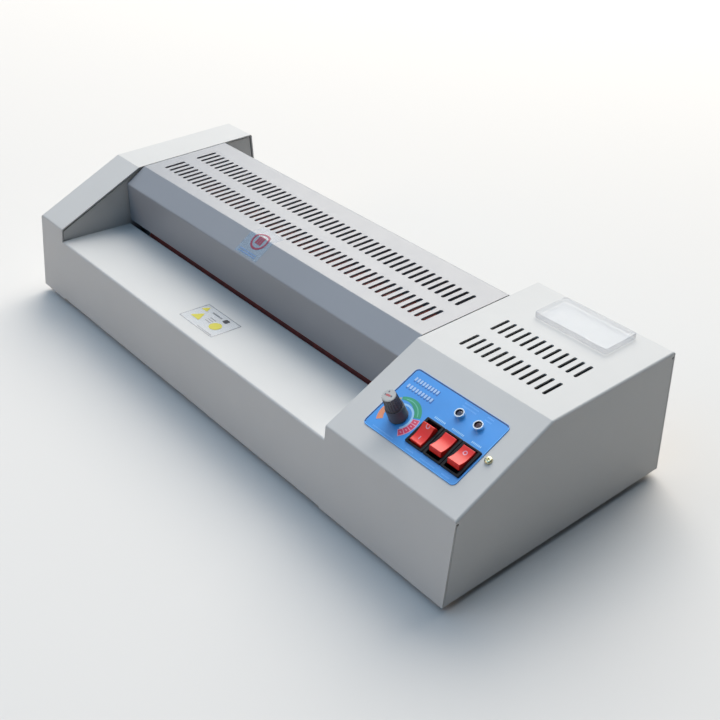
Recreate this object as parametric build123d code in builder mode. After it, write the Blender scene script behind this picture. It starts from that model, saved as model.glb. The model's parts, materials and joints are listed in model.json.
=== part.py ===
"""Desktop pouch laminator with a folded sheet-steel case and four driven rollers.

X runs along the rollers, towards the control end. The feed side faces -Y. Z is up, and the
origin is on the table, below the middle of the machine.
"""

import os
from math import acos, atan2, cos, degrees, pi, radians, sin, tan

from build123d import *

os.makedirs("parts", exist_ok=True)

# ---------------------------------------------------------------- driving sizes
case_length = 500.0
case_top_depth = 194.1  # front face top edge to rear face top edge
skirt_flare = 6.2  # how far the front and rear faces lean out at the bottom
hood_height = 98.7  # case bottom to hood top
hood_front_height = 64.2
hood_slope_run = 77.0
left_hood_width = 36.0
control_hood_width = 117.0
foot_height = 4.8
sheet = 1.2
bend_radius = 1.7
frame_plate = 2.0

# ---------------------------------------------------------------- case outline
case_right = case_length / 2
case_left = -case_right
case_bottom = foot_height + sheet
case_top = case_bottom + hood_height
front_top_y = -case_top_depth / 2
rear_top_y = case_top_depth / 2
front_bottom_y = front_top_y - skirt_flare
rear_bottom_y = rear_top_y + skirt_flare
slope_low_z = case_bottom + hood_front_height
slope_high_y = front_top_y + hood_slope_run
slope_angle = degrees(atan2(case_top - slope_low_z, hood_slope_run))
left_edge = case_left + left_hood_width
right_edge = case_right - control_hood_width
rear_lean = degrees(atan2(skirt_flare, hood_height))

# Cheek plates stand back from the hood edges and leave a fine gap below the hood.
cheek_setback = 0.8
cheek_gap = 0.9
left_cheek_face = left_edge - cheek_setback
right_cheek_face = right_edge + cheek_setback
flange_width = 12.0

# ---------------------------------------------------------------- feed and exit tables
feed_front_z = case_bottom + 53.6
feed_slot_z = case_bottom + 50.0
feed_lip_y = front_top_y + 64.5
exit_rear_z = case_bottom + 50.5
exit_slot_z = case_bottom + 49.0
exit_lip_y = 58.0
lip_drop = 8.0
table_bend = 1.8
skirt_bend = 1.4

# ---------------------------------------------------------------- top cover
cover_front_y = front_top_y + 63.8
cover_front_low_z = case_bottom + 54.5
cover_front_high_z = case_bottom + 87.6
cover_slope_y = front_top_y + 82.0
cover_rear_y = rear_top_y - 28.8
cover_rear_low_z = case_bottom + 56.0
cover_hem_depth = 8.5
cover_end_gap = 0.9
cover_middle_x = (left_edge + right_edge) / 2
cover_vents = 48
cover_vent_pitch = 6.76
cover_vent_width = 3.0
cover_vent_length = 19.75
cover_vent_rows_y = (6.9, 38.4)

# ---------------------------------------------------------------- rollers and gears
nip_z = feed_slot_z
hot_y = -17.0
pull_y = 33.0
axis_spacing = 26.0  # between the axes of an upper and a lower roller
sleeve_radius = 12.85
core_radius = 10.0
core_bore = 7.0
pull_shaft_radius = 6.0
journal_radius = 5.0
journal_bore = 3.75
running_gap = 0.05
lower_z = nip_z - axis_spacing / 2
upper_z = nip_z + axis_spacing / 2
sleeve_length = 320.0
sleeve_left = left_cheek_face + 20.0
sleeve_right = sleeve_left + sleeve_length
core_overhang = 4.5

left_frame_x = -223.0
right_frame_x = 139.0
journal_left = -228.0
gear_x = 145.0
gear_width = 6.0
journal_right = gear_x + gear_width + 1.0
gear_module = 1.0
roller_teeth = 26
idler_teeth = 24
pinion_teeth = 16
pressure_angle = radians(20)
tooth_thinning = 0.16
gear_hole_circle = 8.0
gear_hole_radius = 1.6
gear_holes = 6
idler_pin_radius = 3.0
pinion_direction = -30.0  # from the lower pull gear, degrees from +Y towards +Z
idler_y = (hot_y + pull_y) / 2

# ---------------------------------------------------------------- control panel
label_width = 80.9
label_height = 50.8
label_x = 191.9
label_down = 42.9
label_corner = 3.3
label_thickness = 0.5
knob_x = 168.3
knob_down = 51.8
knob_height = 20.5
knob_base_radius = 6.5
knob_top_radius = 4.8
knob_flutes = 18
switch_xs = (192.6, 208.0, 223.4)
switch_down = 52.1
bezel_width = 15.2
bezel_length = 21.0
bezel_height = 1.8
switch_body_width = 13.0
switch_body_length = 19.0
switch_body_depth = 18.0
switch_cutout_gap = 0.1
rocker_width = 9.6
rocker_tilt = 10.25
rocker_gap = 0.3
rocker_pivot_depth = 3.84
lamp_xs = (200.3, 216.1)
lamp_down = 28.9
lamp_bezel_radius = 3.3
lamp_body_radius = 3.0
lamp_lens_radius = 2.5
lamp_hole_radius = 3.05
pot_bush_radius = 3.5
pot_hole_radius = 3.6
panel_screw_x = 237.0
panel_screw_down = 43.0
panel_screw_head_radius = 2.5

# ---------------------------------------------------------------- control hood details
hood_vents = 12
hood_vent_pitch = 6.48
hood_vent_width = 2.6
hood_vent_length = 17.8
hood_vent_x = 191.4
hood_vent_rows_y = (4.7, 33.45)
badge_length = 60.8
badge_depth = 31.8
badge_thickness = 4.5
badge_corner = 1.8
badge_edge = 0.6
badge_centre = (193.8, 74.1)
inlet_x = 222.0
inlet_up = 64.0
inlet_screw_spacing = 40.0

# ---------------------------------------------------------------- fasteners
screw_radius = 1.5
screw_head_radius = 2.8
screw_head_height = 1.6
screw_head_taper = 20
screw_hole_radius = 1.6
screw_depth = 5.0
screw_recess_length = 2.8
screw_recess_width = 0.6
screw_recess_depth = 1.0
hood_screw_x = 242.5
hood_screw_y = 60.0
skirt_screw_xs = (-150.0, 70.0)
skirt_screw_y = 95.5
frame_screw_xs = (-228.0, 146.5)
frame_screw_ys = (-26.0, 46.0)
shelf_screw_xs = (-227.0, 145.0)
foot_positions = ((-225.0, -75.0), (-225.0, 75.0), (225.0, -75.0), (225.0, 75.0))
tie_rod_places = ((-32.0, 17.0), (48.0, 17.0))
tie_rod_radius = 4.0
tie_rod_end_radius = 2.5
tie_rod_end_proud = 1.5
bush_radius = 7.0
bush_flange_radius = 9.0
bush_flange_thickness = 1.5
bush_length = 5.5
foot_stem_radius = 2.5


def side_plane(x, centre=(0, 0)):
    """Upright plane across the machine at x, with its origin at centre: sketch x is +Y, sketch y is +Z."""
    return Plane(origin=(x, *centre), x_dir=(0, 1, 0), z_dir=(1, 0, 0))


slope_normal = (0, -sin(radians(slope_angle)), cos(radians(slope_angle)))
panel = Plane(origin=(0, slope_high_y, case_top), x_dir=(1, 0, 0), z_dir=slope_normal)
rear_face = Plane(
    origin=(0, rear_bottom_y, case_bottom),
    x_dir=(-1, 0, 0),
    z_dir=(0, cos(radians(rear_lean)), sin(radians(rear_lean))),
)
top_plane = Plane.XY.offset(case_top)


def front_y_at(z):
    """Y of the leaning front face at height z."""
    return front_bottom_y + skirt_flare * (z - case_bottom) / hood_front_height


def rear_y_at(z):
    """Y of the leaning rear face at height z."""
    return rear_bottom_y - skirt_flare * (z - case_bottom) / hood_height


def write(piece, label):
    """Label a finished piece and save it."""
    piece.part.label = label
    export_step(piece.part, f"parts/{label}.step")


# ================================================================ case
def hood_outline(inset):
    """Corners of the hood's side view, moved inwards by inset."""
    slope_shift = inset / cos(radians(slope_angle))
    low_z = slope_low_z - slope_shift
    high_z = case_top - inset
    high_y = slope_high_y + (slope_shift - inset) / tan(radians(slope_angle))
    return [
        (front_bottom_y + inset, case_bottom),
        (front_y_at(low_z) + inset, low_z),
        (high_y, high_z),
        (rear_y_at(high_z) - inset, high_z),
        (rear_bottom_y - inset, case_bottom),
    ]


flange_setback = 3.0  # the hood's bottom flange stops this far short of its open side
bend_zone_low = 5.0  # bends are rounded from this far above the bottom edge
corner_seam_width = 0.4
corner_relief_radius = 1.0
seam_stop_front = 3.0
seam_stop_rear = 4.0
seam_cut_depth = 4.0


def folded_hood(x_low, x_high, outer_x):
    """Hood folded from one sheet: top, slope, front, rear and outer side; open inwards and below."""
    outward = 1 if outer_x > 0 else -1
    above_top = case_top + sheet
    with BuildPart() as hood:
        with BuildSketch(side_plane(x_low)):
            with BuildLine():
                Polyline(*hood_outline(0), close=True)
            make_face()
        extrude(amount=x_high - x_low)
        outer_side = hood.faces().sort_by(Axis.X)[-1 if outward > 0 else 0]
        rims = outer_side.edges().filter_by_position(Axis.Z, slope_low_z + bend_zone_low, above_top)
        bend_low = case_bottom + bend_zone_low
        bends = hood.edges().filter_by(Axis.X).filter_by_position(Axis.Z, bend_low, above_top)
        fillet(rims + bends, radius=bend_radius)
        inner_side = hood.faces().sort_by(Axis.X)[0 if outward > 0 else -1]
        underside = hood.faces().sort_by(Axis.Z)[0]
        offset(amount=-sheet, openings=[inner_side, underside])
        # inward flange along the bottom edge
        inner_x = outer_x - outward * sheet / 2
        flange_end = (left_edge if outward < 0 else right_edge) + outward * flange_setback
        flange_long = abs(inner_x - flange_end)
        with BuildSketch(Plane.XY.offset(case_bottom)):
            with Locations(((inner_x + flange_end) / 2, 0)):
                Rectangle(flange_long, 2 * rear_bottom_y - 2 * sheet)
            with Locations((flange_end + outward * (flange_long - flange_width) / 2, 0)):
                Rectangle(flange_long - flange_width, 2 * (rear_bottom_y - flange_width), mode=Mode.SUBTRACT)
            with Locations((outward * hood_screw_x, -hood_screw_y), (outward * hood_screw_x, hood_screw_y)):
                Circle(screw_radius, mode=Mode.SUBTRACT)
        extrude(amount=sheet)
        # open corner seams, each with a relief notch at its top
        for seam_y, lean, seam_top in (
            (front_y_at, degrees(atan2(skirt_flare, hood_front_height)), slope_low_z - seam_stop_front),
            (rear_y_at, -rear_lean, case_top - seam_stop_rear),
        ):
            inward = 1 if seam_y is front_y_at else -1
            middle_z = (case_bottom + seam_top) / 2
            with BuildSketch(side_plane(outer_x - seam_cut_depth / 2)):
                with Locations((seam_y(middle_z) + inward * (sheet + corner_seam_width / 2), middle_z)):
                    Rectangle(corner_seam_width, seam_top - case_bottom, rotation=-lean)
                with Locations((seam_y(seam_top) + inward * (sheet + sheet / 2), seam_top)):
                    Circle(corner_relief_radius)
            extrude(amount=seam_cut_depth, mode=Mode.SUBTRACT)
    return hood


left_hood = folded_hood(case_left, left_edge, case_left)
write(left_hood, "left_hood")

control_hood = folded_hood(right_edge, case_right, case_right)
switch_cutout_width = switch_body_width + 2 * switch_cutout_gap
switch_cutout_length = switch_body_length + 2 * switch_cutout_gap
inlet_body_width = 27.8
inlet_body_height = 20.6
inlet_cutout_gap = 0.3
with BuildPart() as control_hood_cut:
    add(control_hood.part)
    with BuildSketch(top_plane):
        with Locations((hood_vent_x, sum(hood_vent_rows_y) / 2)):
            with GridLocations(hood_vent_pitch, hood_vent_rows_y[1] - hood_vent_rows_y[0], hood_vents, 2):
                SlotOverall(hood_vent_length, hood_vent_width, rotation=90)
    extrude(amount=-2 * sheet, mode=Mode.SUBTRACT)
    with BuildSketch(panel):
        with Locations((knob_x, -knob_down)):
            Circle(pot_hole_radius)
        with Locations(*[(x, -lamp_down) for x in lamp_xs]):
            Circle(lamp_hole_radius)
        with Locations(*[(x, -switch_down) for x in switch_xs]):
            Rectangle(switch_cutout_width, switch_cutout_length)
        with Locations((panel_screw_x, -panel_screw_down)):
            Circle(screw_radius)
    extrude(amount=-2 * sheet, mode=Mode.SUBTRACT)
    with BuildSketch(rear_face):
        with Locations((-inlet_x, inlet_up)):
            Rectangle(inlet_body_width + 2 * inlet_cutout_gap, inlet_body_height + 2 * inlet_cutout_gap)
            with Locations((-inlet_screw_spacing / 2, 0), (inlet_screw_spacing / 2, 0)):
                Circle(screw_radius)
    extrude(amount=-2 * sheet, mode=Mode.SUBTRACT)
write(control_hood_cut, "control_hood")


journal_clearance = 3.0
cheek_flange_depth = 150.0


def cheek_plate(face_x, outward):
    """Inner side wall of a hood, with clearance holes for the roller journals and tie rods."""
    plate_x = face_x if outward > 0 else face_x - sheet
    with BuildPart() as cheek:
        with BuildSketch(side_plane(plate_x)):
            with BuildLine():
                Polyline(*hood_outline(sheet + cheek_gap), close=True)
            make_face()
            with Locations(*[(y, z) for y in (hot_y, pull_y) for z in (lower_z, upper_z)]):
                Circle(journal_radius + journal_clearance, mode=Mode.SUBTRACT)
            with Locations(*tie_rod_places):
                Circle(tie_rod_radius + 1.0, mode=Mode.SUBTRACT)
        extrude(amount=sheet)
        with BuildSketch(Plane.XY.offset(case_bottom)):
            with Locations((face_x - outward * (flange_width - sheet) / 2, 0)):
                Rectangle(flange_width + sheet, cheek_flange_depth)
        extrude(amount=sheet)
    return cheek


left_cheek = cheek_plate(left_cheek_face, -1)
write(left_cheek, "left_cheek")
right_cheek = cheek_plate(right_cheek_face, 1)
write(right_cheek, "right_cheek")


table_end_gap = 0.1
edge_notch_depth = 24.0


def table_sheet(path_points, side, toward_y):
    """Skirt and table folded from one sheet that spans the gap between the two cheeks."""
    table_left = left_cheek_face + table_end_gap
    table_right = right_cheek_face - table_end_gap
    with BuildPart() as table:
        with BuildSketch(side_plane(table_left)):
            with BuildLine():
                FilletPolyline(*path_points, radius=[skirt_bend, table_bend, table_bend])
                offset(amount=sheet, side=side)
            make_face()
        extrude(amount=table_right - table_left)
        # the skirt is narrower than the table, and ends flush with the hood edges
        with BuildSketch(Plane.XY.offset(case_bottom - sheet)):
            for edge_x in (left_edge - cheek_setback / 2, right_edge + cheek_setback / 2):
                with Locations((edge_x, toward_y * (rear_bottom_y - sheet))):
                    Rectangle(cheek_setback, edge_notch_depth)
        extrude(amount=hood_height, mode=Mode.SUBTRACT)
        with BuildSketch(Plane.XY.offset(case_bottom)):
            with Locations(*[(x, toward_y * skirt_screw_y) for x in skirt_screw_xs]):
                Circle(screw_radius)
        extrude(amount=sheet, mode=Mode.SUBTRACT)
    return table


skirt_flange_y = rear_bottom_y - flange_width
feed_path = [
    (-skirt_flange_y, case_bottom),
    (front_bottom_y, case_bottom),
    (front_y_at(feed_front_z), feed_front_z),
    (feed_lip_y, feed_slot_z),
    (feed_lip_y + 1.0, feed_slot_z - lip_drop),
]
front_panel = table_sheet(feed_path, Side.RIGHT, -1)
write(front_panel, "front_panel")

exit_path = [
    (skirt_flange_y, case_bottom),
    (rear_bottom_y, case_bottom),
    (rear_y_at(exit_rear_z), exit_rear_z),
    (exit_lip_y, exit_slot_z),
    (exit_lip_y - 1.0, exit_slot_z - lip_drop),
]
rear_panel = table_sheet(exit_path, Side.LEFT, 1)
write(rear_panel, "rear_panel")

cover_left = left_edge + cover_end_gap
cover_right = right_edge - cover_end_gap
cover_screw_inset = 8.0
cover_screw_z = case_top - 16.0
cover_screw_xs = (cover_left + cover_screw_inset, cover_right - cover_screw_inset)
cover_screw_places = [(x, cover_screw_z) for x in cover_screw_xs]
with BuildPart() as top_cover:
    with BuildSketch(side_plane(cover_left)):
        with BuildLine():
            FilletPolyline(
                (cover_front_y, cover_front_low_z),
                (cover_front_y, cover_front_high_z),
                (cover_slope_y, case_top),
                (cover_rear_y, case_top),
                (cover_rear_y, cover_rear_low_z),
                (cover_rear_y - cover_hem_depth, cover_rear_low_z),
                radius=bend_radius,
            )
            offset(amount=sheet, side=Side.RIGHT)
        make_face()
    extrude(amount=cover_right - cover_left)
    with BuildSketch(top_plane):
        with Locations((cover_middle_x, sum(cover_vent_rows_y) / 2)):
            with GridLocations(cover_vent_pitch, cover_vent_rows_y[1] - cover_vent_rows_y[0], cover_vents, 2):
                SlotOverall(cover_vent_length, cover_vent_width, rotation=90)
    extrude(amount=-2 * sheet, mode=Mode.SUBTRACT)
    with BuildSketch(Plane.XZ.offset(-cover_rear_y)):
        with Locations(*cover_screw_places):
            Circle(screw_radius)
    extrude(amount=2 * sheet, mode=Mode.SUBTRACT)
write(top_cover, "top_cover")

cover_bracket_leaf = 16.0
cover_bracket_depth = 18.0
cover_bracket_height = 20.0
cover_rear_inside_y = cover_rear_y - sheet
with BuildPart() as cover_brackets:
    for cheek_x, outward in ((left_cheek_face, 1), (right_cheek_face, -1)):
        with BuildSketch(Plane.XY.offset(cover_screw_z - cover_bracket_height / 2)):
            with Locations((cheek_x + outward * sheet / 2, cover_rear_inside_y - cover_bracket_depth / 2)):
                Rectangle(sheet, cover_bracket_depth)
            with Locations((cheek_x + outward * cover_bracket_leaf / 2, cover_rear_inside_y - sheet / 2)):
                Rectangle(cover_bracket_leaf, sheet)
        extrude(amount=cover_bracket_height)
    with BuildSketch(Plane.XZ.offset(-cover_rear_inside_y)):
        with Locations(*cover_screw_places):
            Circle(screw_radius)
    extrude(amount=sheet, mode=Mode.SUBTRACT)
write(cover_brackets, "cover_brackets")

base_screw_points = [(x, y) for x in (-hood_screw_x, hood_screw_x) for y in (-hood_screw_y, hood_screw_y)]
base_screw_points += [(x, y) for x in skirt_screw_xs for y in (-skirt_screw_y, skirt_screw_y)]
base_screw_points += [(x, y) for x in frame_screw_xs for y in frame_screw_ys]
base_inset_x = 4.0
base_inset_y = 4.5
base_corner_radius = 4.0
base_vents_x = 150.0
base_vent_length = 8.0
base_vent_width = 2.4
base_vent_pitch_x = 12.0
base_vent_pitch_y = 5.0
base_vent_count = 5
with BuildPart() as base_plate:
    with BuildSketch(Plane.XY.offset(foot_height)):
        base_size = (2 * (case_right - base_inset_x), 2 * (rear_bottom_y - base_inset_y))
        RectangleRounded(*base_size, base_corner_radius)
        with Locations(*base_screw_points):
            Circle(screw_hole_radius, mode=Mode.SUBTRACT)
        with Locations(*foot_positions):
            Circle(foot_stem_radius, mode=Mode.SUBTRACT)
        with Locations((base_vents_x, 0)):
            with GridLocations(base_vent_pitch_x, base_vent_pitch_y, base_vent_count, base_vent_count):
                SlotOverall(base_vent_length, base_vent_width, mode=Mode.SUBTRACT)
    extrude(amount=sheet)
write(base_plate, "base_plate")

foot_radius = 11.0
foot_taper = 12
foot_stem_length = 3 * sheet
with BuildPart() as rubber_feet:
    with BuildSketch(Plane.XY.offset(foot_height)):
        with Locations(*foot_positions):
            Circle(foot_radius)
    extrude(amount=-foot_height, taper=foot_taper)
    with BuildSketch(Plane.XY.offset(foot_height)):
        with Locations(*foot_positions):
            Circle(foot_stem_radius)
    extrude(amount=foot_stem_length)
write(rubber_feet, "rubber_feet")

# ================================================================ roller train
roller_places = {
    "lower_hot": (hot_y, lower_z),
    "upper_hot": (hot_y, upper_z),
    "lower_pull": (pull_y, lower_z),
    "upper_pull": (pull_y, upper_z),
}


frame_front_y = -40.0
frame_rear_y = 56.0
frame_top_z = 82.0
frame_foot = 10.0
shelf_front_y = -4.0
shelf_rear_y = 20.0
shelf_z = 88.0
block_slot_width = 16.0
block_foot_z = upper_z - 8.0
block_width = 20.0
block_height = 17.0
block_thickness = 8.0
boss_height = 5.0


def bearing_frame(plate_x, outward):
    """Bearing plate with two bush holes, two slots for the sprung blocks and a spring shelf."""
    with BuildPart() as frame:
        with BuildSketch(side_plane(plate_x)):
            with BuildLine():
                Polyline(
                    (frame_front_y, case_bottom),
                    (frame_rear_y, case_bottom),
                    (frame_rear_y, frame_top_z),
                    (shelf_rear_y, frame_top_z),
                    (shelf_rear_y, shelf_z),
                    (shelf_front_y, shelf_z),
                    (shelf_front_y, frame_top_z),
                    (frame_front_y, frame_top_z),
                    close=True,
                )
            make_face()
            for y in (hot_y, pull_y):
                with Locations((y, lower_z)):
                    Circle(bush_radius, mode=Mode.SUBTRACT)
                with Locations((y, (block_foot_z + frame_top_z) / 2)):
                    Rectangle(block_slot_width, frame_top_z - block_foot_z, mode=Mode.SUBTRACT)
            with Locations(*tie_rod_places):
                Circle(tie_rod_end_radius, mode=Mode.SUBTRACT)
        extrude(amount=frame_plate)
        foot_x = plate_x + (frame_plate if outward > 0 else 0) + outward * frame_foot / 2
        with BuildSketch(Plane.XY.offset(case_bottom)):
            with Locations((foot_x, (frame_front_y + frame_rear_y) / 2)):
                Rectangle(frame_foot, frame_rear_y - frame_front_y)
            with Locations(*[(x, y) for x in frame_screw_xs for y in frame_screw_ys]):
                Circle(screw_radius, mode=Mode.SUBTRACT)
        extrude(amount=frame_plate)
        with BuildSketch(Plane.XY.offset(shelf_z - frame_plate)):
            with Locations((foot_x, idler_y)):
                Rectangle(frame_foot, shelf_rear_y - shelf_front_y)
            with Locations(*[(x, idler_y) for x in shelf_screw_xs]):
                Circle(screw_radius, mode=Mode.SUBTRACT)
        extrude(amount=frame_plate)
    return frame


left_frame = bearing_frame(left_frame_x, -1)
write(left_frame, "left_frame")
right_frame = bearing_frame(right_frame_x, 1)
write(right_frame, "right_frame")

with BuildPart() as tie_rods:
    inner_left = left_frame_x + frame_plate
    with BuildSketch(side_plane(inner_left)):
        with Locations(*tie_rod_places):
            Circle(tie_rod_radius)
    extrude(amount=right_frame_x - inner_left)
    rod_left = left_frame_x - tie_rod_end_proud
    rod_right = right_frame_x + frame_plate + tie_rod_end_proud
    with BuildSketch(side_plane(rod_left)):
        with Locations(*tie_rod_places):
            Circle(tie_rod_end_radius)
    extrude(amount=rod_right - rod_left)
write(tie_rods, "tie_rods")

with BuildPart() as roller_bushes:
    for plate_x, outward in ((left_frame_x, -1), (right_frame_x, 1)):
        inner_x = plate_x if outward > 0 else plate_x + frame_plate
        for y in (hot_y, pull_y):
            with BuildSketch(side_plane(inner_x)):
                with Locations((y, lower_z)):
                    Circle(bush_radius)
            extrude(amount=outward * (bush_length - bush_flange_thickness))
            with BuildSketch(side_plane(inner_x)):
                with Locations((y, lower_z)):
                    Circle(bush_flange_radius)
            extrude(amount=-outward * bush_flange_thickness)
            with BuildSketch(side_plane(inner_x - outward * bush_flange_thickness)):
                with Locations((y, lower_z)):
                    Circle(journal_radius + running_gap)
            extrude(amount=outward * bush_length, mode=Mode.SUBTRACT)
write(roller_bushes, "roller_bushes")

block_groove = (block_width - block_slot_width) / 2 + 0.05
spring_boss_radius = 2.5
with BuildPart() as bearing_blocks:
    for plate_x in (left_frame_x, right_frame_x):
        for y in (hot_y, pull_y):
            block_x = plate_x + frame_plate / 2 - block_thickness / 2
            with BuildSketch(side_plane(block_x)):
                with Locations((y, block_foot_z + block_height / 2)):
                    Rectangle(block_width, block_height)
            extrude(amount=block_thickness)
            # grooves that ride on the edges of the frame slot
            with BuildSketch(side_plane(plate_x)):
                for groove_side in (-1, 1):
                    with Locations((y + groove_side * block_width / 2, block_foot_z + block_height / 2)):
                        Rectangle(2 * block_groove, block_height)
            extrude(amount=frame_plate, mode=Mode.SUBTRACT)
            with BuildSketch(side_plane(block_x)):
                with Locations((y, upper_z)):
                    Circle(journal_radius + running_gap)
            extrude(amount=block_thickness, mode=Mode.SUBTRACT)
            with BuildSketch(Plane.XY.offset(block_foot_z + block_height)):
                with Locations((plate_x + frame_plate / 2, y)):
                    Circle(spring_boss_radius)
            extrude(amount=boss_height)
write(bearing_blocks, "bearing_blocks")

spring_crown_z = shelf_z + 1.6
spring_drop = 7.3
spring_end_z = spring_crown_z - spring_drop
spring_overhang = 5.0  # past the two bearing blocks
spring_thickness = 0.8
spring_width = 8.0
with BuildPart() as pressure_springs:
    for screw_x in shelf_screw_xs:
        with BuildSketch(side_plane(screw_x - spring_width / 2)):
            with BuildLine():
                front_end = (hot_y - spring_overhang, spring_end_z)
                rear_end = (pull_y + spring_overhang, spring_end_z)
                ThreePointArc(front_end, (idler_y, spring_crown_z), rear_end)
                offset(amount=spring_thickness, side=Side.LEFT)
            make_face()
        extrude(amount=spring_width)
    with BuildSketch(Plane.XY.offset(spring_crown_z - spring_thickness)):
        with Locations(*[(x, idler_y) for x in shelf_screw_xs]):
            Circle(screw_radius)
    extrude(amount=3 * spring_thickness, mode=Mode.SUBTRACT)
write(pressure_springs, "pressure_springs")


core_end_wall = 3.0
shaft_chamfer = 0.6
sleeve_chamfer = 0.6


def hollow_core(place):
    """Aluminium tube core with hollow journals, for a heater lamp to pass through."""
    body_left = sleeve_left - core_overhang
    body_right = sleeve_right + core_overhang
    with BuildPart() as core:
        with BuildSketch(Plane(origin=(0, *place), x_dir=(1, 0, 0), z_dir=(0, 1, 0))):
            with BuildLine():
                Polyline(
                    (journal_left, -journal_radius),
                    (body_left, -journal_radius),
                    (body_left, -core_radius),
                    (body_right, -core_radius),
                    (body_right, -journal_radius),
                    (journal_right, -journal_radius),
                    (journal_right, -journal_bore),
                    (body_right - core_end_wall, -journal_bore),
                    (body_right - core_end_wall, -core_bore),
                    (body_left + core_end_wall, -core_bore),
                    (body_left + core_end_wall, -journal_bore),
                    (journal_left, -journal_bore),
                    close=True,
                )
            make_face()
        revolve(axis=Axis((0, *place), (1, 0, 0)))
    return core


def stepped_shaft(place):
    """Solid steel shaft with turned-down journals."""
    body_left = sleeve_left - core_overhang
    body_right = sleeve_right + core_overhang
    with BuildPart() as shaft:
        with BuildSketch(side_plane(journal_left)):
            with Locations(place):
                Circle(journal_radius)
        extrude(amount=journal_right - journal_left)
        with BuildSketch(side_plane(body_left)):
            with Locations(place):
                Circle(pull_shaft_radius)
        extrude(amount=body_right - body_left)
        chamfer(shaft.edges().filter_by(GeomType.CIRCLE).sort_by(Axis.X)[0], length=shaft_chamfer)
    return shaft


def silicone_sleeve(place, bore):
    """Silicone sleeve moulded onto a roller core."""
    with BuildPart() as sleeve:
        with BuildSketch(side_plane(sleeve_left)):
            with Locations(place):
                Circle(sleeve_radius)
                Circle(bore, mode=Mode.SUBTRACT)
        extrude(amount=sleeve_length)
        outer_rims = sleeve.edges().filter_by(GeomType.CIRCLE).filter_by(lambda rim: rim.radius > bore + 1.0)
        chamfer(outer_rims, length=sleeve_chamfer)
    return sleeve


def involute(angle):
    """Involute function of an angle in radians."""
    return tan(angle) - angle


def tooth_outline(teeth, phase):
    """Corners of a spur gear with one tooth centred at phase degrees."""
    pitch_radius = gear_module * teeth / 2
    base_radius = pitch_radius * cos(pressure_angle)
    tip_radius = pitch_radius + gear_module
    root_radius = pitch_radius - 1.25 * gear_module
    flank = [root_radius, base_radius, pitch_radius, (pitch_radius + tip_radius) / 2, tip_radius]
    half_at_pitch = pi / (2 * teeth) - tooth_thinning / (2 * pitch_radius)
    corners = []
    for tooth in range(teeth):
        centre = radians(phase) + 2 * pi * tooth / teeth
        for flank_side in (-1, 1):
            for radius in flank[::-flank_side]:
                roll = acos(min(1.0, base_radius / radius))
                half = half_at_pitch + involute(pressure_angle) - involute(roll)
                corner_angle = centre + flank_side * half
                corners.append((radius * cos(corner_angle), radius * sin(corner_angle)))
    return corners


def meshing_phase(phase, teeth, other_teeth, direction):
    """Phase that puts a gap of the other gear on this gear's tooth, seen along direction."""
    offset_teeth = (direction - phase) * teeth
    return direction + 180.0 - (180.0 - offset_teeth) / other_teeth


def spur_gear(place, teeth, phase, bore):
    """Spur gear about an axis along X, with lightening holes."""
    with BuildPart() as gear:
        with BuildSketch(side_plane(gear_x, place)):
            with BuildLine():
                Polyline(*tooth_outline(teeth, phase), close=True)
            make_face()
            Circle(bore, mode=Mode.SUBTRACT)
            with PolarLocations(gear_hole_circle, gear_holes):
                Circle(gear_hole_radius, mode=Mode.SUBTRACT)
        extrude(amount=gear_width)
    return gear


lower_hot_phase = 90.0
idler_phase = meshing_phase(lower_hot_phase, roller_teeth, idler_teeth, 0.0)
lower_pull_phase = meshing_phase(idler_phase, idler_teeth, roller_teeth, 0.0)
gear_phases = {
    "lower_hot": lower_hot_phase,
    "upper_hot": meshing_phase(lower_hot_phase, roller_teeth, roller_teeth, 90.0),
    "lower_pull": lower_pull_phase,
    "upper_pull": meshing_phase(lower_pull_phase, roller_teeth, roller_teeth, 90.0),
}
for roller, place in roller_places.items():
    if roller.endswith("hot"):
        core = hollow_core(place)
        sleeve = silicone_sleeve(place, core_radius)
    else:
        core = stepped_shaft(place)
        sleeve = silicone_sleeve(place, pull_shaft_radius)
    gear = spur_gear(place, roller_teeth, gear_phases[roller], journal_radius)
    write(core, f"{roller}_core")
    write(sleeve, f"{roller}_sleeve")
    write(gear, f"{roller}_gear")

idler_place = (idler_y, lower_z)
idler_collar_radius = 4.5
idler_collar_length = gear_x - right_frame_x - frame_plate - 0.4
idler_clip_thickness = 1.2
idler_pin_length = 12.0
idler_gear = spur_gear(idler_place, idler_teeth, idler_phase, idler_pin_radius + running_gap)
write(idler_gear, "idler_gear")

with BuildPart() as idler_pin:
    with BuildSketch(side_plane(right_frame_x + frame_plate)):
        with Locations(idler_place):
            Circle(idler_collar_radius)
    extrude(amount=idler_collar_length)
    with BuildSketch(side_plane(right_frame_x + frame_plate)):
        with Locations(idler_place):
            Circle(idler_pin_radius)
    extrude(amount=idler_pin_length)
    with BuildSketch(side_plane(gear_x + gear_width + 0.4)):
        with Locations(idler_place):
            Circle(idler_collar_radius)
    extrude(amount=idler_clip_thickness)
write(idler_pin, "idler_pin")

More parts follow.
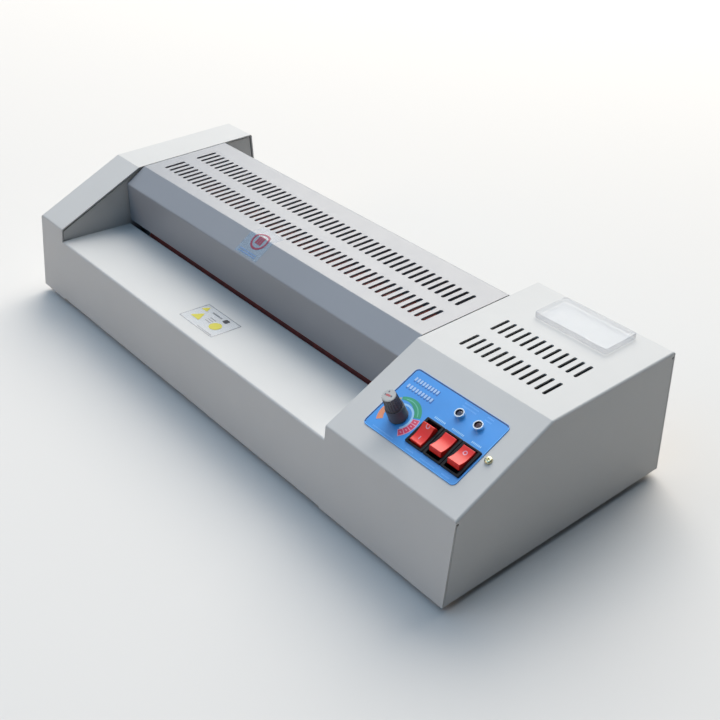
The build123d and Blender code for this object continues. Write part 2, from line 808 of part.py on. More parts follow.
# ================================================================ drive motor
pinion_reach = gear_module * (roller_teeth + pinion_teeth) / 2
pinion_place = (
    pull_y + pinion_reach * cos(radians(pinion_direction)),
    lower_z + pinion_reach * sin(radians(pinion_direction)),
)
pinion_phase = meshing_phase(lower_pull_phase, roller_teeth, pinion_teeth, pinion_direction)
motor_place = (60.0, 32.0)
gearbox_x = 155.0
gearbox_length = 20.0
gearbox_width = 44.0
gearbox_corner = 6.0
motor_shaft_radius = 3.0
motor_shaft_reach = 5.0
motor_radius = 20.0
motor_length = 32.0
motor_rim = 2.0
motor_bracket_width = 48.0
motor_bracket_top = 58.0
motor_bracket_foot = 13.0
motor_bracket_hole = 7.0
with BuildPart() as motor_pinion:
    with BuildSketch(side_plane(gear_x, pinion_place)):
        with BuildLine():
            Polyline(*tooth_outline(pinion_teeth, pinion_phase), close=True)
        make_face()
    extrude(amount=gear_width)
    with BuildSketch(side_plane(gear_x, pinion_place)):
        Circle(motor_shaft_radius)
    extrude(amount=gearbox_x + motor_shaft_reach - gear_x)
write(motor_pinion, "motor_pinion")

with BuildPart() as gearbox:
    with BuildSketch(side_plane(gearbox_x)):
        with Locations(motor_place):
            RectangleRounded(gearbox_width, gearbox_width, gearbox_corner)
    extrude(amount=gearbox_length)
    with BuildSketch(side_plane(gearbox_x)):
        with Locations(pinion_place):
            Circle(motor_shaft_radius + running_gap)
    extrude(amount=motor_shaft_reach + 1.0, mode=Mode.SUBTRACT)
write(gearbox, "gearbox")

with BuildPart() as motor_can:
    with BuildSketch(side_plane(gearbox_x + gearbox_length)):
        with Locations(motor_place):
            Circle(motor_radius)
    extrude(amount=motor_length)
    fillet(motor_can.edges().filter_by(GeomType.CIRCLE).sort_by(Axis.X)[-1], radius=motor_rim)
write(motor_can, "motor_can")

with BuildPart() as motor_bracket:
    with BuildSketch(side_plane(gearbox_x - frame_plate)):
        with Locations((motor_place[0], (case_bottom + motor_bracket_top) / 2)):
            Rectangle(motor_bracket_width, motor_bracket_top - case_bottom)
        with Locations(pinion_place):
            Circle(motor_bracket_hole, mode=Mode.SUBTRACT)
    extrude(amount=frame_plate)
    with BuildSketch(Plane.XY.offset(case_bottom)):
        with Locations((gearbox_x + motor_bracket_foot / 2, motor_place[0])):
            Rectangle(motor_bracket_foot, motor_bracket_width)
    extrude(amount=frame_plate)
write(motor_bracket, "motor_bracket")

# ================================================================ heating and guides
heater_left = -239.0
heater_right = 160.0
heater_radius = 3.0
heater_places = ((hot_y, lower_z), (hot_y, upper_z))
socket_depth = 4.0
pillar_width = 12.0
pillar_corner = 2.0
with BuildPart() as heater_lamps:
    with BuildSketch(side_plane(heater_left)):
        with Locations(*heater_places):
            Circle(heater_radius)
    extrude(amount=heater_right - heater_left)
write(heater_lamps, "heater_lamps")

with BuildPart() as lamp_holders:
    pillar_top = upper_z + heater_radius + socket_depth
    for lamp_end_x, pillar_foot in ((heater_left, case_bottom + sheet), (heater_right, case_bottom)):
        with BuildSketch(side_plane(lamp_end_x - socket_depth)):
            with Locations((hot_y, (pillar_foot + pillar_top) / 2)):
                RectangleRounded(pillar_width, pillar_top - pillar_foot, pillar_corner)
        extrude(amount=2 * socket_depth)
    for socket_x in (heater_left, heater_right - socket_depth):
        with BuildSketch(side_plane(socket_x)):
            with Locations(*heater_places):
                Circle(heater_radius)
        extrude(amount=socket_depth, mode=Mode.SUBTRACT)
write(lamp_holders, "lamp_holders")

guide_level = 1.6  # above and below the nip
guide_lead = 1.2
guide_sheet = 0.8
guide_end = 9.0  # from the axes of the rollers
guide_flat_end = 12.5
with BuildPart() as pouch_guides:
    for fold in (-1, 1):
        flat_z = nip_z + fold * guide_level
        with BuildSketch(side_plane(left_cheek_face)):
            with BuildLine():
                Polyline(
                    (hot_y + guide_end, flat_z + fold * guide_lead),
                    (hot_y + guide_flat_end, flat_z),
                    (pull_y - guide_flat_end, flat_z),
                    (pull_y - guide_end, flat_z + fold * guide_lead),
                )
                offset(amount=guide_sheet, side=Side.LEFT if fold > 0 else Side.RIGHT)
            make_face()
        extrude(amount=right_cheek_face - left_cheek_face)
write(pouch_guides, "pouch_guides")

thermostat_flange_length = 30.0
thermostat_flange_width = 10.0
thermostat_flange_thickness = 1.5
thermostat_stem_radius = 4.0
thermostat_stem_top = case_bottom + 12.0
thermostat_head_radius = 8.0
thermostat_head_top = lower_z - sleeve_radius - 0.5
with BuildPart() as thermostat:
    with BuildSketch(Plane.XY.offset(case_bottom)):
        with Locations((cover_middle_x, hot_y)):
            SlotOverall(thermostat_flange_length, thermostat_flange_width)
    extrude(amount=thermostat_flange_thickness)
    with BuildSketch(Plane.XY.offset(case_bottom)):
        with Locations((cover_middle_x, hot_y)):
            Circle(thermostat_stem_radius)
    extrude(amount=thermostat_stem_top - case_bottom)
    with BuildSketch(Plane.XY.offset(thermostat_stem_top)):
        with Locations((cover_middle_x, hot_y)):
            Circle(thermostat_head_radius)
    extrude(amount=thermostat_head_top - thermostat_stem_top)
write(thermostat, "thermostat")

# ================================================================ electrical parts
board_centre = (194.0, -64.0)
board_z = case_bottom + 6.0
board_length = 80.0
board_depth = 48.0
board_thickness = 1.6
board_hole_inset = 4.0
board_hole_pitch = (board_length - 2 * board_hole_inset, board_depth - 2 * board_hole_inset)
board_hole_radius = 1.6
spacer_radius = 3.0
relay_size = (19.0, 15.0)
relay_centre = (board_centre[0] - 20.0, board_centre[1] + 6.0)
capacitor_size = (26.0, 13.0)
capacitor_centre = (board_centre[0] + 18.0, board_centre[1] - 8.0)
component_height = 14.0
with BuildPart() as control_board:
    with BuildSketch(Plane.XY.offset(board_z)):
        with Locations(board_centre):
            Rectangle(board_length, board_depth)
            with GridLocations(*board_hole_pitch, 2, 2):
                Circle(board_hole_radius, mode=Mode.SUBTRACT)
    extrude(amount=board_thickness)
    with BuildSketch(Plane.XY.offset(board_z + board_thickness)):
        with Locations(relay_centre):
            Rectangle(*relay_size)
        with Locations(capacitor_centre):
            Rectangle(*capacitor_size)
    extrude(amount=component_height)
write(control_board, "control_board")

with BuildPart() as board_spacers:
    with BuildSketch(Plane.XY.offset(case_bottom)):
        with Locations(board_centre):
            with GridLocations(*board_hole_pitch, 2, 2):
                RegularPolygon(spacer_radius, 6)
    extrude(amount=board_z - case_bottom)
write(board_spacers, "board_spacers")

transformer_centre = (212.0, -4.0)
transformer_core = (42.0, 34.0)
transformer_height = 34.0
winding_size = (28.0, 46.0)
winding_corner = 4.0
winding_inset = 5.0
with BuildPart() as transformer:
    with BuildSketch(Plane.XY.offset(case_bottom)):
        with Locations(transformer_centre):
            Rectangle(*transformer_core)
    extrude(amount=transformer_height)
    with BuildSketch(Plane.XY.offset(case_bottom + winding_inset)):
        with Locations(transformer_centre):
            RectangleRounded(*winding_size, winding_corner)
    extrude(amount=transformer_height - 2 * winding_inset)
write(transformer, "transformer")

inlet_flange_size = (50.0, 27.0)
inlet_flange_corner = 4.0
inlet_flange_thickness = 2.0
inlet_body_corner = 2.0
inlet_body_depth = 18.0
inlet_recess_size = (24.2, 16.6)
inlet_recess_corner = 3.0
inlet_recess_depth = 16.0
inlet_pin_size = (2.0, 4.0)
inlet_pin_pitch = 7.0
inlet_pin_rise = 2.0
inlet_pin_length = 10.5
with BuildPart() as mains_inlet:
    with BuildSketch(rear_face):
        with Locations((-inlet_x, inlet_up)):
            RectangleRounded(*inlet_flange_size, inlet_flange_corner)
            with Locations((-inlet_screw_spacing / 2, 0), (inlet_screw_spacing / 2, 0)):
                Circle(screw_radius, mode=Mode.SUBTRACT)
    extrude(amount=inlet_flange_thickness)
    with BuildSketch(rear_face):
        with Locations((-inlet_x, inlet_up)):
            RectangleRounded(inlet_body_width, inlet_body_height, inlet_body_corner)
    extrude(amount=-inlet_body_depth)
    with BuildSketch(rear_face.offset(inlet_flange_thickness)):
        with Locations((-inlet_x, inlet_up)):
            RectangleRounded(*inlet_recess_size, inlet_recess_corner)
    extrude(amount=-inlet_recess_depth, mode=Mode.SUBTRACT)
write(mains_inlet, "mains_inlet")

with BuildPart() as inlet_pins:
    with BuildSketch(rear_face.offset(inlet_flange_thickness - inlet_recess_depth)):
        with Locations((-inlet_x, inlet_up)):
            with Locations(
                (-inlet_pin_pitch, -inlet_pin_rise), (0.0, inlet_pin_rise), (inlet_pin_pitch, -inlet_pin_rise)
            ):
                Rectangle(*inlet_pin_size)
    extrude(amount=inlet_pin_length)
write(inlet_pins, "inlet_pins")

# ================================================================ control panel
with BuildPart() as panel_label:
    with BuildSketch(panel):
        with Locations((label_x, -label_down)):
            RectangleRounded(label_width, label_height, label_corner)
        with Locations((knob_x, -knob_down)):
            Circle(pot_hole_radius, mode=Mode.SUBTRACT)
        with Locations(*[(x, -lamp_down) for x in lamp_xs]):
            Circle(lamp_hole_radius, mode=Mode.SUBTRACT)
        with Locations(*[(x, -switch_down) for x in switch_xs]):
            Rectangle(switch_cutout_width, switch_cutout_length, mode=Mode.SUBTRACT)
    extrude(amount=label_thickness)
write(panel_label, "panel_label")

pot_bush_top = label_thickness + 0.4
pot_case_radius = 8.2
pot_case_depth = 9.0
pot_socket_depth = 6.0
pot_lug_spacing = 5.0
pot_lug_down = 6.0
pot_lug_length = 4.0
knob_gap = label_thickness + 0.8
shaft_radius = 3.0
shaft_foot = 4.0
knob_socket_depth = 14.0
with BuildPart() as potentiometer:
    with BuildSketch(panel.offset(-sheet)):
        with Locations((knob_x, -knob_down)):
            Circle(pot_case_radius)
    extrude(amount=-pot_case_depth)
    with BuildSketch(panel.offset(-sheet)):
        with Locations((knob_x, -knob_down)):
            Circle(pot_bush_radius)
    extrude(amount=sheet + pot_bush_top)
    with BuildSketch(panel.offset(pot_bush_top)):
        with Locations((knob_x, -knob_down)):
            Circle(shaft_radius + running_gap)
    extrude(amount=-pot_socket_depth, mode=Mode.SUBTRACT)
    with BuildSketch(panel.offset(-sheet - pot_case_depth)):
        with Locations((knob_x, -knob_down - pot_lug_down)):
            with GridLocations(pot_lug_spacing, 1.0, 3, 1):
                Rectangle(1.6, 0.8)
    extrude(amount=-pot_lug_length)
write(potentiometer, "potentiometer")

with BuildPart() as pot_shaft:
    with BuildSketch(panel.offset(-shaft_foot)):
        with Locations((knob_x, -knob_down)):
            Circle(shaft_radius)
    extrude(amount=shaft_foot + knob_gap + knob_socket_depth)
write(pot_shaft, "pot_shaft")

skirt_height = 9.5
skirt_top_radius = knob_base_radius - 0.4
flute_base_radius = knob_base_radius - 1.0
flute_radius = 0.6
cap_radius = knob_top_radius - 0.7
cap_recess = 0.8
cap_thickness = 1.0
with BuildPart() as knob_body:
    with BuildSketch(panel.offset(knob_gap)):
        with Locations((knob_x, -knob_down)):
            Circle(knob_base_radius)
    with BuildSketch(panel.offset(knob_gap + skirt_height)):
        with Locations((knob_x, -knob_down)):
            Circle(skirt_top_radius)
    loft()
    with BuildSketch(panel.offset(knob_gap + skirt_height)):
        with Locations((knob_x, -knob_down)):
            Circle(flute_base_radius)
            with PolarLocations(flute_base_radius + 0.2, knob_flutes):
                Circle(flute_radius, mode=Mode.SUBTRACT)
    flute_height = knob_height - skirt_height
    extrude(amount=flute_height, taper=degrees(atan2(flute_base_radius - knob_top_radius, flute_height)))
    with BuildSketch(panel.offset(knob_gap)):
        with Locations((knob_x, -knob_down)):
            Circle(shaft_radius)
    extrude(amount=knob_socket_depth, mode=Mode.SUBTRACT)
    with BuildSketch(panel.offset(knob_gap + knob_height)):
        with Locations((knob_x, -knob_down)):
            Circle(cap_radius)
    extrude(amount=-cap_recess, mode=Mode.SUBTRACT)
write(knob_body, "knob_body")

with BuildPart() as knob_cap:
    with BuildSketch(panel.offset(knob_gap + knob_height - cap_recess)):
        with Locations((knob_x, -knob_down)):
            Circle(cap_radius)
    extrude(amount=cap_thickness)
write(knob_cap, "knob_cap")

# Each rocker turns on two pins below the panel face. The first is pressed at its front end, the
# other two at their back ends. Its profile is given from the pins: along the panel, then out of it.
switch_names = ("power", "heat", "reverse")
rocker_rests = (rocker_tilt, -rocker_tilt, -rocker_tilt)
rocker_shoulder = (6.72, 8.26)
rocker_dip = (0, 6.9)
rocker_heel = (7.66, 4.27)
rocker_foot = (3.0, -1.2)
rocker_edge = 0.3
rocker_pin_radius = 1.2
rocker_pin_reach = 5.8
pin_hole_reach = 5.9
well_width = rocker_width + 2 * rocker_gap
well_length = 17.4
well_depth = 7.5
mouth_width = well_width + 1.0
mouth_length = well_length + 1.4
bezel_corner = 0.8
bezel_edge = 0.4
terminal_size = (4.8, 0.8)
terminal_spacing = 7.0
terminal_length = 6.0


def mirrored(point):
    """The same point of the rocker's profile at its other end."""
    return (-point[0], point[1])


for name, x, tilt in zip(switch_names, switch_xs, rocker_rests):
    pivot = panel.from_local_coords((x, -switch_down, -rocker_pivot_depth))
    with BuildPart() as housing:
        with BuildSketch(panel.offset(label_thickness)):
            with Locations((x, -switch_down)):
                RectangleRounded(bezel_width, bezel_length, bezel_corner)
        extrude(amount=bezel_height - label_thickness)
        fillet(housing.faces().sort_by(Axis(panel.origin, panel.z_dir))[-1].edges(), radius=bezel_edge)
        with BuildSketch(panel.offset(label_thickness)):
            with Locations((x, -switch_down)):
                Rectangle(switch_body_width, switch_body_length)
        extrude(amount=-switch_body_depth)
        # well for the rocker, with a mouth that widens through the bezel
        with BuildSketch(panel):
            with Locations((x, -switch_down)):
                Rectangle(well_width, well_length)
        extrude(amount=-well_depth, mode=Mode.SUBTRACT)
        with BuildSketch(panel):
            with Locations((x, -switch_down)):
                Rectangle(well_width, well_length)
        with BuildSketch(panel.offset(bezel_height)):
            with Locations((x, -switch_down)):
                Rectangle(mouth_width, mouth_length)
        loft(mode=Mode.SUBTRACT)
        with BuildSketch(side_plane(x - pin_hole_reach, (pivot.Y, pivot.Z))):
            Circle(rocker_pin_radius + running_gap)
        extrude(amount=2 * pin_hole_reach, mode=Mode.SUBTRACT)
        with BuildSketch(panel.offset(label_thickness - switch_body_depth)):
            with Locations((x, -switch_down)):
                with GridLocations(1.0, terminal_spacing, 1, 2):
                    Rectangle(*terminal_size)
        extrude(amount=-terminal_length)
    write(housing, f"{name}_switch_housing")

    section_up = (0, cos(radians(slope_angle + tilt)), sin(radians(slope_angle + tilt)))
    section_origin = (x - rocker_width / 2, pivot.Y, pivot.Z)
    with BuildPart() as rocker:
        with BuildSketch(Plane(origin=section_origin, x_dir=section_up, z_dir=(1, 0, 0))):
            with BuildLine():
                ThreePointArc(mirrored(rocker_shoulder), rocker_dip, rocker_shoulder)
                Polyline(
                    rocker_shoulder,
                    rocker_heel,
                    rocker_foot,
                    mirrored(rocker_foot),
                    mirrored(rocker_heel),
                    mirrored(rocker_shoulder),
                )
            make_face()
        extrude(amount=rocker_width)
        fillet(rocker.faces().filter_by(GeomType.CYLINDER).edges(), radius=rocker_edge)
        with BuildSketch(side_plane(x - rocker_pin_reach, (pivot.Y, pivot.Z))):
            Circle(rocker_pin_radius)
        extrude(amount=2 * rocker_pin_reach)
    write(rocker, f"{name}_rocker")

lamp_bezel_height = 2.7
lamp_body_depth = 9.0
lamp_pocket_depth = 8.0
lens_length = 7.2
lens_dome = 1.2
with BuildPart() as lamp_bezels:
    for x in lamp_xs:
        with BuildSketch(panel.offset(label_thickness)):
            with Locations((x, -lamp_down)):
                Circle(lamp_bezel_radius)
        extrude(amount=lamp_bezel_height)
        with BuildSketch(panel.offset(label_thickness)):
            with Locations((x, -lamp_down)):
                Circle(lamp_body_radius)
        extrude(amount=-lamp_body_depth)
        with BuildSketch(panel.offset(label_thickness + lamp_bezel_height)):
            with Locations((x, -lamp_down)):
                Circle(lamp_lens_radius)
        extrude(amount=-lamp_pocket_depth, mode=Mode.SUBTRACT)
write(lamp_bezels, "lamp_bezels")

for name, x in zip(("power", "ready"), lamp_xs):
    with BuildPart() as lens:
        with BuildSketch(panel.offset(label_thickness + lamp_bezel_height - lamp_pocket_depth)):
            with Locations((x, -lamp_down)):
                Circle(lamp_lens_radius)
        extrude(amount=lens_length)
        fillet(lens.faces().sort_by(Axis(panel.origin, panel.z_dir))[-1].edges(), radius=lens_dome)
    write(lens, f"{name}_lamp_lens")

panel_screw_head_height = 1.9
panel_screw_dome = 1.2
panel_screw_length = 8.0
panel_screw_turn = 20
with BuildPart() as panel_screw:
    with BuildSketch(panel):
        with Locations((panel_screw_x, -panel_screw_down)):
            Circle(panel_screw_head_radius)
    extrude(amount=panel_screw_head_height)
    fillet(panel_screw.faces().sort_by(Axis(panel.origin, panel.z_dir))[-1].edges(), radius=panel_screw_dome)
    with BuildSketch(panel):
        with Locations((panel_screw_x, -panel_screw_down)):
            Circle(screw_radius)
    extrude(amount=-panel_screw_length)
    with BuildSketch(panel.offset(panel_screw_head_height)):
        with Locations((panel_screw_x, -panel_screw_down)):
            Rectangle(screw_recess_length, screw_recess_width, rotation=panel_screw_turn)
            Rectangle(screw_recess_width, screw_recess_length, rotation=panel_screw_turn)
    extrude(amount=-screw_recess_depth, mode=Mode.SUBTRACT)
write(panel_screw, "panel_screw")

with BuildPart() as clear_badge:
    with BuildSketch(top_plane):
        with Locations(badge_centre):
            RectangleRounded(badge_length, badge_depth, badge_corner)
    extrude(amount=badge_thickness)
    fillet(clear_badge.faces().sort_by(Axis.Z)[-1].edges(), radius=badge_edge)
write(clear_badge, "clear_badge")

# ================================================================ screws
screw_planes = []
for x, y in base_screw_points:
    screw_planes.append(Plane(origin=(x, y, foot_height), x_dir=(1, 0, 0), z_dir=(0, 0, -1)))
for x, z in cover_screw_places:
    screw_planes.append(Plane(origin=(x, cover_rear_y, z), x_dir=(-1, 0, 0), z_dir=(0, 1, 0)))
for x in shelf_screw_xs:
    spring_top = (x, idler_y, spring_crown_z + spring_thickness)
    screw_planes.append(Plane(origin=spring_top, x_dir=(1, 0, 0), z_dir=(0, 0, 1)))
for shift in (-inlet_screw_spacing / 2, inlet_screw_spacing / 2):
    seat = rear_face.from_local_coords((-inlet_x + shift, inlet_up, inlet_flange_thickness))
    screw_planes.append(Plane(origin=seat, x_dir=(-1, 0, 0), z_dir=rear_face.z_dir))
with BuildPart() as machine_screws:
    for seat_plane in screw_planes:
        with BuildSketch(seat_plane):
            Circle(screw_head_radius)
        extrude(amount=screw_head_height, taper=screw_head_taper)
        with BuildSketch(seat_plane):
            Circle(screw_radius)
        extrude(amount=-screw_depth)
        with BuildSketch(seat_plane.offset(screw_head_height)):
            Rectangle(screw_recess_length, screw_recess_width)
            Rectangle(screw_recess_width, screw_recess_length)
        extrude(amount=-screw_recess_depth, mode=Mode.SUBTRACT)
write(machine_screws, "machine_screws")
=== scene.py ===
"""Looks of the pouch laminator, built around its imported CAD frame.

Everything is in metres in the frame's own axes: X along the rollers towards the control end, the
feed side faces -Y, Z up. Finishes come first, then the print, knob, rocker marks, badge and stickers,
then the studio.
"""

import json
import math

import bmesh
import bpy
from mathutils import Matrix, Vector
from mathutils.bvhtree import BVHTree


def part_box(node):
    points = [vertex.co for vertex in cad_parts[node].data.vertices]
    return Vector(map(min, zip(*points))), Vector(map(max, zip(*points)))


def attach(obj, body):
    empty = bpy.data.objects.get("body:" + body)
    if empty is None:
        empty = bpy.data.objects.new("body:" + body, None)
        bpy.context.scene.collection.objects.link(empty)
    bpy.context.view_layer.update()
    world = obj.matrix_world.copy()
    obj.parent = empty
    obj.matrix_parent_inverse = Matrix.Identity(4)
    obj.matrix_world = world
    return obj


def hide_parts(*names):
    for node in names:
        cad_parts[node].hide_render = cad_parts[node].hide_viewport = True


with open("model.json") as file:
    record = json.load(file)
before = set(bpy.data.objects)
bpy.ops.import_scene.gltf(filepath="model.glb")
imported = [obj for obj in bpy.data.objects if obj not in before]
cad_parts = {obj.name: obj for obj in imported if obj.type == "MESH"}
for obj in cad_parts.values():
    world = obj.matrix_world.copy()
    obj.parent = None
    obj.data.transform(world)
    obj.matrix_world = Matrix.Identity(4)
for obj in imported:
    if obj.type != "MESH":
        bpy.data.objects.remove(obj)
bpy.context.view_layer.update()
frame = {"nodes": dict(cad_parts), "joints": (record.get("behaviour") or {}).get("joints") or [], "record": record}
nodes = frame["nodes"]
joints = {joint["name"]: joint for joint in frame["joints"]}
slot_of_node = {part["node"]: part["material_slot"] for part in frame["record"]["subparts"]}

MM = 0.001
MICRON = 0.001 * MM
X_AXIS = Vector((1, 0, 0))
Z_AXIS = Vector((0, 0, 1))
RAY_START = 1.0


# ================================================================ node helpers
def principled(name, colour, roughness, metallic=0.0, **sockets):
    """New material with a Principled shader; returns the material, its node tree and the shader."""
    material = bpy.data.materials.new(name)
    material.use_nodes = True
    tree = material.node_tree
    shader = tree.nodes["Principled BSDF"]
    shader.inputs["Base Color"].default_value = (*colour, 1)
    shader.inputs["Roughness"].default_value = roughness
    shader.inputs["Metallic"].default_value = metallic
    for socket, value in sockets.items():
        shader.inputs[socket.replace("_", " ")].default_value = value
    return material, tree, shader


def coordinates(tree, stretch=(1, 1, 1)):
    """The machine's own coordinates, stretched along each axis."""
    source = tree.nodes.new("ShaderNodeTexCoord")
    mapping = tree.nodes.new("ShaderNodeMapping")
    mapping.inputs["Scale"].default_value = stretch
    tree.links.new(source.outputs["Object"], mapping.inputs["Vector"])
    return mapping.outputs["Vector"]


def noise(tree, size, detail=2.0, stretch=(1, 1, 1)):
    """Noise with features about size metres across."""
    texture = tree.nodes.new("ShaderNodeTexNoise")
    texture.inputs["Scale"].default_value = 1 / size
    texture.inputs["Detail"].default_value = detail
    tree.links.new(coordinates(tree, stretch), texture.inputs["Vector"])
    return texture.outputs["Fac"]


def ramp(tree, factor, low, high, low_at=0.35, high_at=0.65):
    """Blend from one colour to another as factor rises."""
    node = tree.nodes.new("ShaderNodeValToRGB")
    node.color_ramp.elements[0].position = low_at
    node.color_ramp.elements[0].color = (*low, 1)
    node.color_ramp.elements[1].position = high_at
    node.color_ramp.elements[1].color = (*high, 1)
    tree.links.new(factor, node.inputs["Fac"])
    return node.outputs["Color"]


def span(tree, factor, low, high):
    """Factor from 0 to 1 mapped to low to high."""
    node = tree.nodes.new("ShaderNodeMapRange")
    node.inputs["To Min"].default_value = low
    node.inputs["To Max"].default_value = high
    tree.links.new(factor, node.inputs["Value"])
    return node.outputs["Result"]


def add_bump(tree, shader, height, distance, strength=1.0):
    """Bump of distance metres, stacked on any bump that the shader already has."""
    node = tree.nodes.new("ShaderNodeBump")
    node.inputs["Distance"].default_value = distance
    node.inputs["Strength"].default_value = strength
    tree.links.new(height, node.inputs["Height"])
    if shader.inputs["Normal"].links:
        tree.links.new(shader.inputs["Normal"].links[0].from_socket, node.inputs["Normal"])
    tree.links.new(node.outputs["Normal"], shader.inputs["Normal"])


def vary_colour(tree, shader, factor, low, high, low_at=0.35, high_at=0.65):
    """Base colour that runs from low to high with factor."""
    tree.links.new(ramp(tree, factor, low, high, low_at, high_at), shader.inputs["Base Color"])


def vary_roughness(tree, shader, factor, low, high):
    """Roughness that runs from low to high with factor."""
    tree.links.new(span(tree, factor, low, high), shader.inputs["Roughness"])


def shade(colour, factor):
    """Colour made darker or lighter by factor."""
    return tuple(min(1.0, channel * factor) for channel in colour)


# ================================================================ finishes
def powder_coat(name, colour, roughness, gloss):
    """Satin powder coat on sheet steel: fine orange peel, and sheet that is not quite flat."""
    material, tree, shader = principled(name, colour, roughness, Specular_IOR_Level=gloss)
    vary_colour(tree, shader, noise(tree, 90 * MM, 3.0), shade(colour, 0.975), shade(colour, 1.015))
    vary_roughness(tree, shader, noise(tree, 12 * MM, 4.0), roughness - 0.04, roughness + 0.06)
    orange_peel = noise(tree, 0.9 * MM, 2.0)
    add_bump(tree, shader, orange_peel, 20 * MICRON, 0.5)
    waviness = noise(tree, 110 * MM, 1.0)
    add_bump(tree, shader, waviness, 600 * MICRON, 0.35)
    return material


def plated_steel(name, colour, roughness, grain, grain_stretch):
    """Drawn or rolled metal with fine lines along one direction and faint cloudy plating."""
    material, tree, shader = principled(name, colour, roughness, 1.0)
    lines = noise(tree, grain, 3.0, grain_stretch)
    vary_colour(tree, shader, noise(tree, 18 * MM, 4.0), shade(colour, 0.86), shade(colour, 1.08))
    vary_roughness(tree, shader, lines, roughness - 0.1, roughness + 0.12)
    add_bump(tree, shader, lines, 20 * MICRON, 0.6)
    return material


def spangled_zinc():
    """Galvanised sheet: crystals of slightly different brightness."""
    colour = (0.56, 0.57, 0.585)
    material, tree, shader = principled("zinc_plate", colour, 0.38, 1.0)
    crystal_size = 7 * MM
    crystals = tree.nodes.new("ShaderNodeTexVoronoi")
    crystals.inputs["Scale"].default_value = 1 / crystal_size
    tree.links.new(coordinates(tree), crystals.inputs["Vector"])
    grey = tree.nodes.new("ShaderNodeRGBToBW")
    tree.links.new(crystals.outputs["Color"], grey.inputs["Color"])
    brightness = grey.outputs["Val"]
    vary_colour(tree, shader, brightness, shade(colour, 0.82), shade(colour, 1.12), 0.1, 0.9)
    vary_roughness(tree, shader, brightness, 0.30, 0.46)
    add_bump(tree, shader, noise(tree, 1.5 * MM, 3.0), 20 * MICRON, 0.4)
    return material


def moulded(name, colour, roughness, grain=0.6 * MM, depth=30 * MICRON, **sockets):
    """Moulded plastic or rubber: fine texture from the tool and slightly uneven gloss."""
    material, tree, shader = principled(name, colour, roughness, **sockets)
    vary_colour(tree, shader, noise(tree, 20 * MM, 3.0), shade(colour, 0.93), shade(colour, 1.07))
    vary_roughness(tree, shader, noise(tree, 6 * MM, 3.0), roughness - 0.06, roughness + 0.08)
    add_bump(tree, shader, noise(tree, grain, 2.0), depth, 0.5)
    return material


def circuit_laminate():
    """Green solder mask with copper tracks showing through as lighter lines."""
    mask = (0.018, 0.105, 0.040)
    track_pitch = 16 * MM
    material, tree, shader = principled("circuit_board", mask, 0.28, Coat_Weight=0.4, Coat_Roughness=0.1)
    cells = tree.nodes.new("ShaderNodeTexBrick")
    cells.inputs["Scale"].default_value = 1 / track_pitch
    cells.inputs["Mortar Size"].default_value = 0.06
    cells.inputs["Color1"].default_value = (*mask, 1)
    cells.inputs["Color2"].default_value = (*shade(mask, 1.25), 1)
    cells.inputs["Mortar"].default_value = (0.05, 0.20, 0.07, 1)
    tree.links.new(coordinates(tree), cells.inputs["Vector"])
    tree.links.new(cells.outputs["Color"], shader.inputs["Base Color"])
    add_bump(tree, shader, cells.outputs["Fac"], 50 * MICRON, -0.5)
    return material


def laminated_core():
    """Stack of thin transformer sheets, seen as fine parallel lines."""
    colour = (0.23, 0.235, 0.25)
    wave_size = 4 * MM
    material, tree, shader = principled("core_steel", colour, 0.45, 0.9)
    sheets = tree.nodes.new("ShaderNodeTexWave")
    sheets.bands_direction = "X"
    sheets.inputs["Scale"].default_value = 1 / wave_size
    sheets.inputs["Distortion"].default_value = 0.6
    tree.links.new(coordinates(tree), sheets.inputs["Vector"])
    lines = sheets.outputs["Fac"]
    vary_colour(tree, shader, lines, shade(colour, 0.5), shade(colour, 1.2), 0.1, 0.7)
    add_bump(tree, shader, lines, 80 * MICRON, 0.7)
    return material


def silicone_rubber():
    """Dark red roller sleeve: matt, with faint wear rings round it."""
    colour = (0.290, 0.032, 0.020)
    material, tree, shader = principled("silicone_red", colour, 0.55, Sheen_Weight=0.15, Sheen_Roughness=0.5)
    rings = noise(tree, 4 * MM, 3.0, (1.0, 0.04, 0.04))
    vary_colour(tree, shader, rings, shade(colour, 0.8), shade(colour, 1.25))
    vary_roughness(tree, shader, rings, 0.45, 0.65)
    add_bump(tree, shader, noise(tree, 0.8 * MM, 2.0), 30 * MICRON, 0.5)
    return material


def printed_film(name, colour, roughness=0.24, coat=0.35):
    """Ink on a smooth plastic film, with the faint ripple of a hand-laid label."""
    material, tree, shader = principled(name, colour, roughness, Coat_Weight=coat, Coat_Roughness=0.12)
    ripple = noise(tree, 22 * MM, 2.0)
    vary_colour(tree, shader, ripple, shade(colour, 0.95), shade(colour, 1.05))
    vary_roughness(tree, shader, noise(tree, 8 * MM, 3.0), roughness - 0.04, roughness + 0.06)
    add_bump(tree, shader, ripple, 250 * MICRON, 0.25)
    return material


def quartz_glass():
    """Clear lamp tube with faint surface ripple."""
    colour, roughness = (0.95, 0.96, 0.98), 0.03
    material, tree, shader = principled("quartz", colour, roughness, Transmission_Weight=1.0, IOR=1.46)
    vary_roughness(tree, shader, noise(tree, 10 * MM, 3.0), roughness * 0.6, roughness * 1.8)
    add_bump(tree, shader, noise(tree, 30 * MM, 1.0), 200 * MICRON, 0.2)
    return material


def clear_film(name, colour, opacity, roughness=0.30):
    """Clear plastic seen as a tinted see-through skin: glossy, with small wrinkles."""
    material, tree, shader = principled(name, colour, roughness, Specular_IOR_Level=0.4)
    wrinkles = noise(tree, 12 * MM, 3.0)
    tree.links.new(span(tree, wrinkles, opacity * 0.8, opacity * 1.25), shader.inputs["Alpha"])
    add_bump(tree, shader, wrinkles, 50 * MICRON, 0.3)
    return material


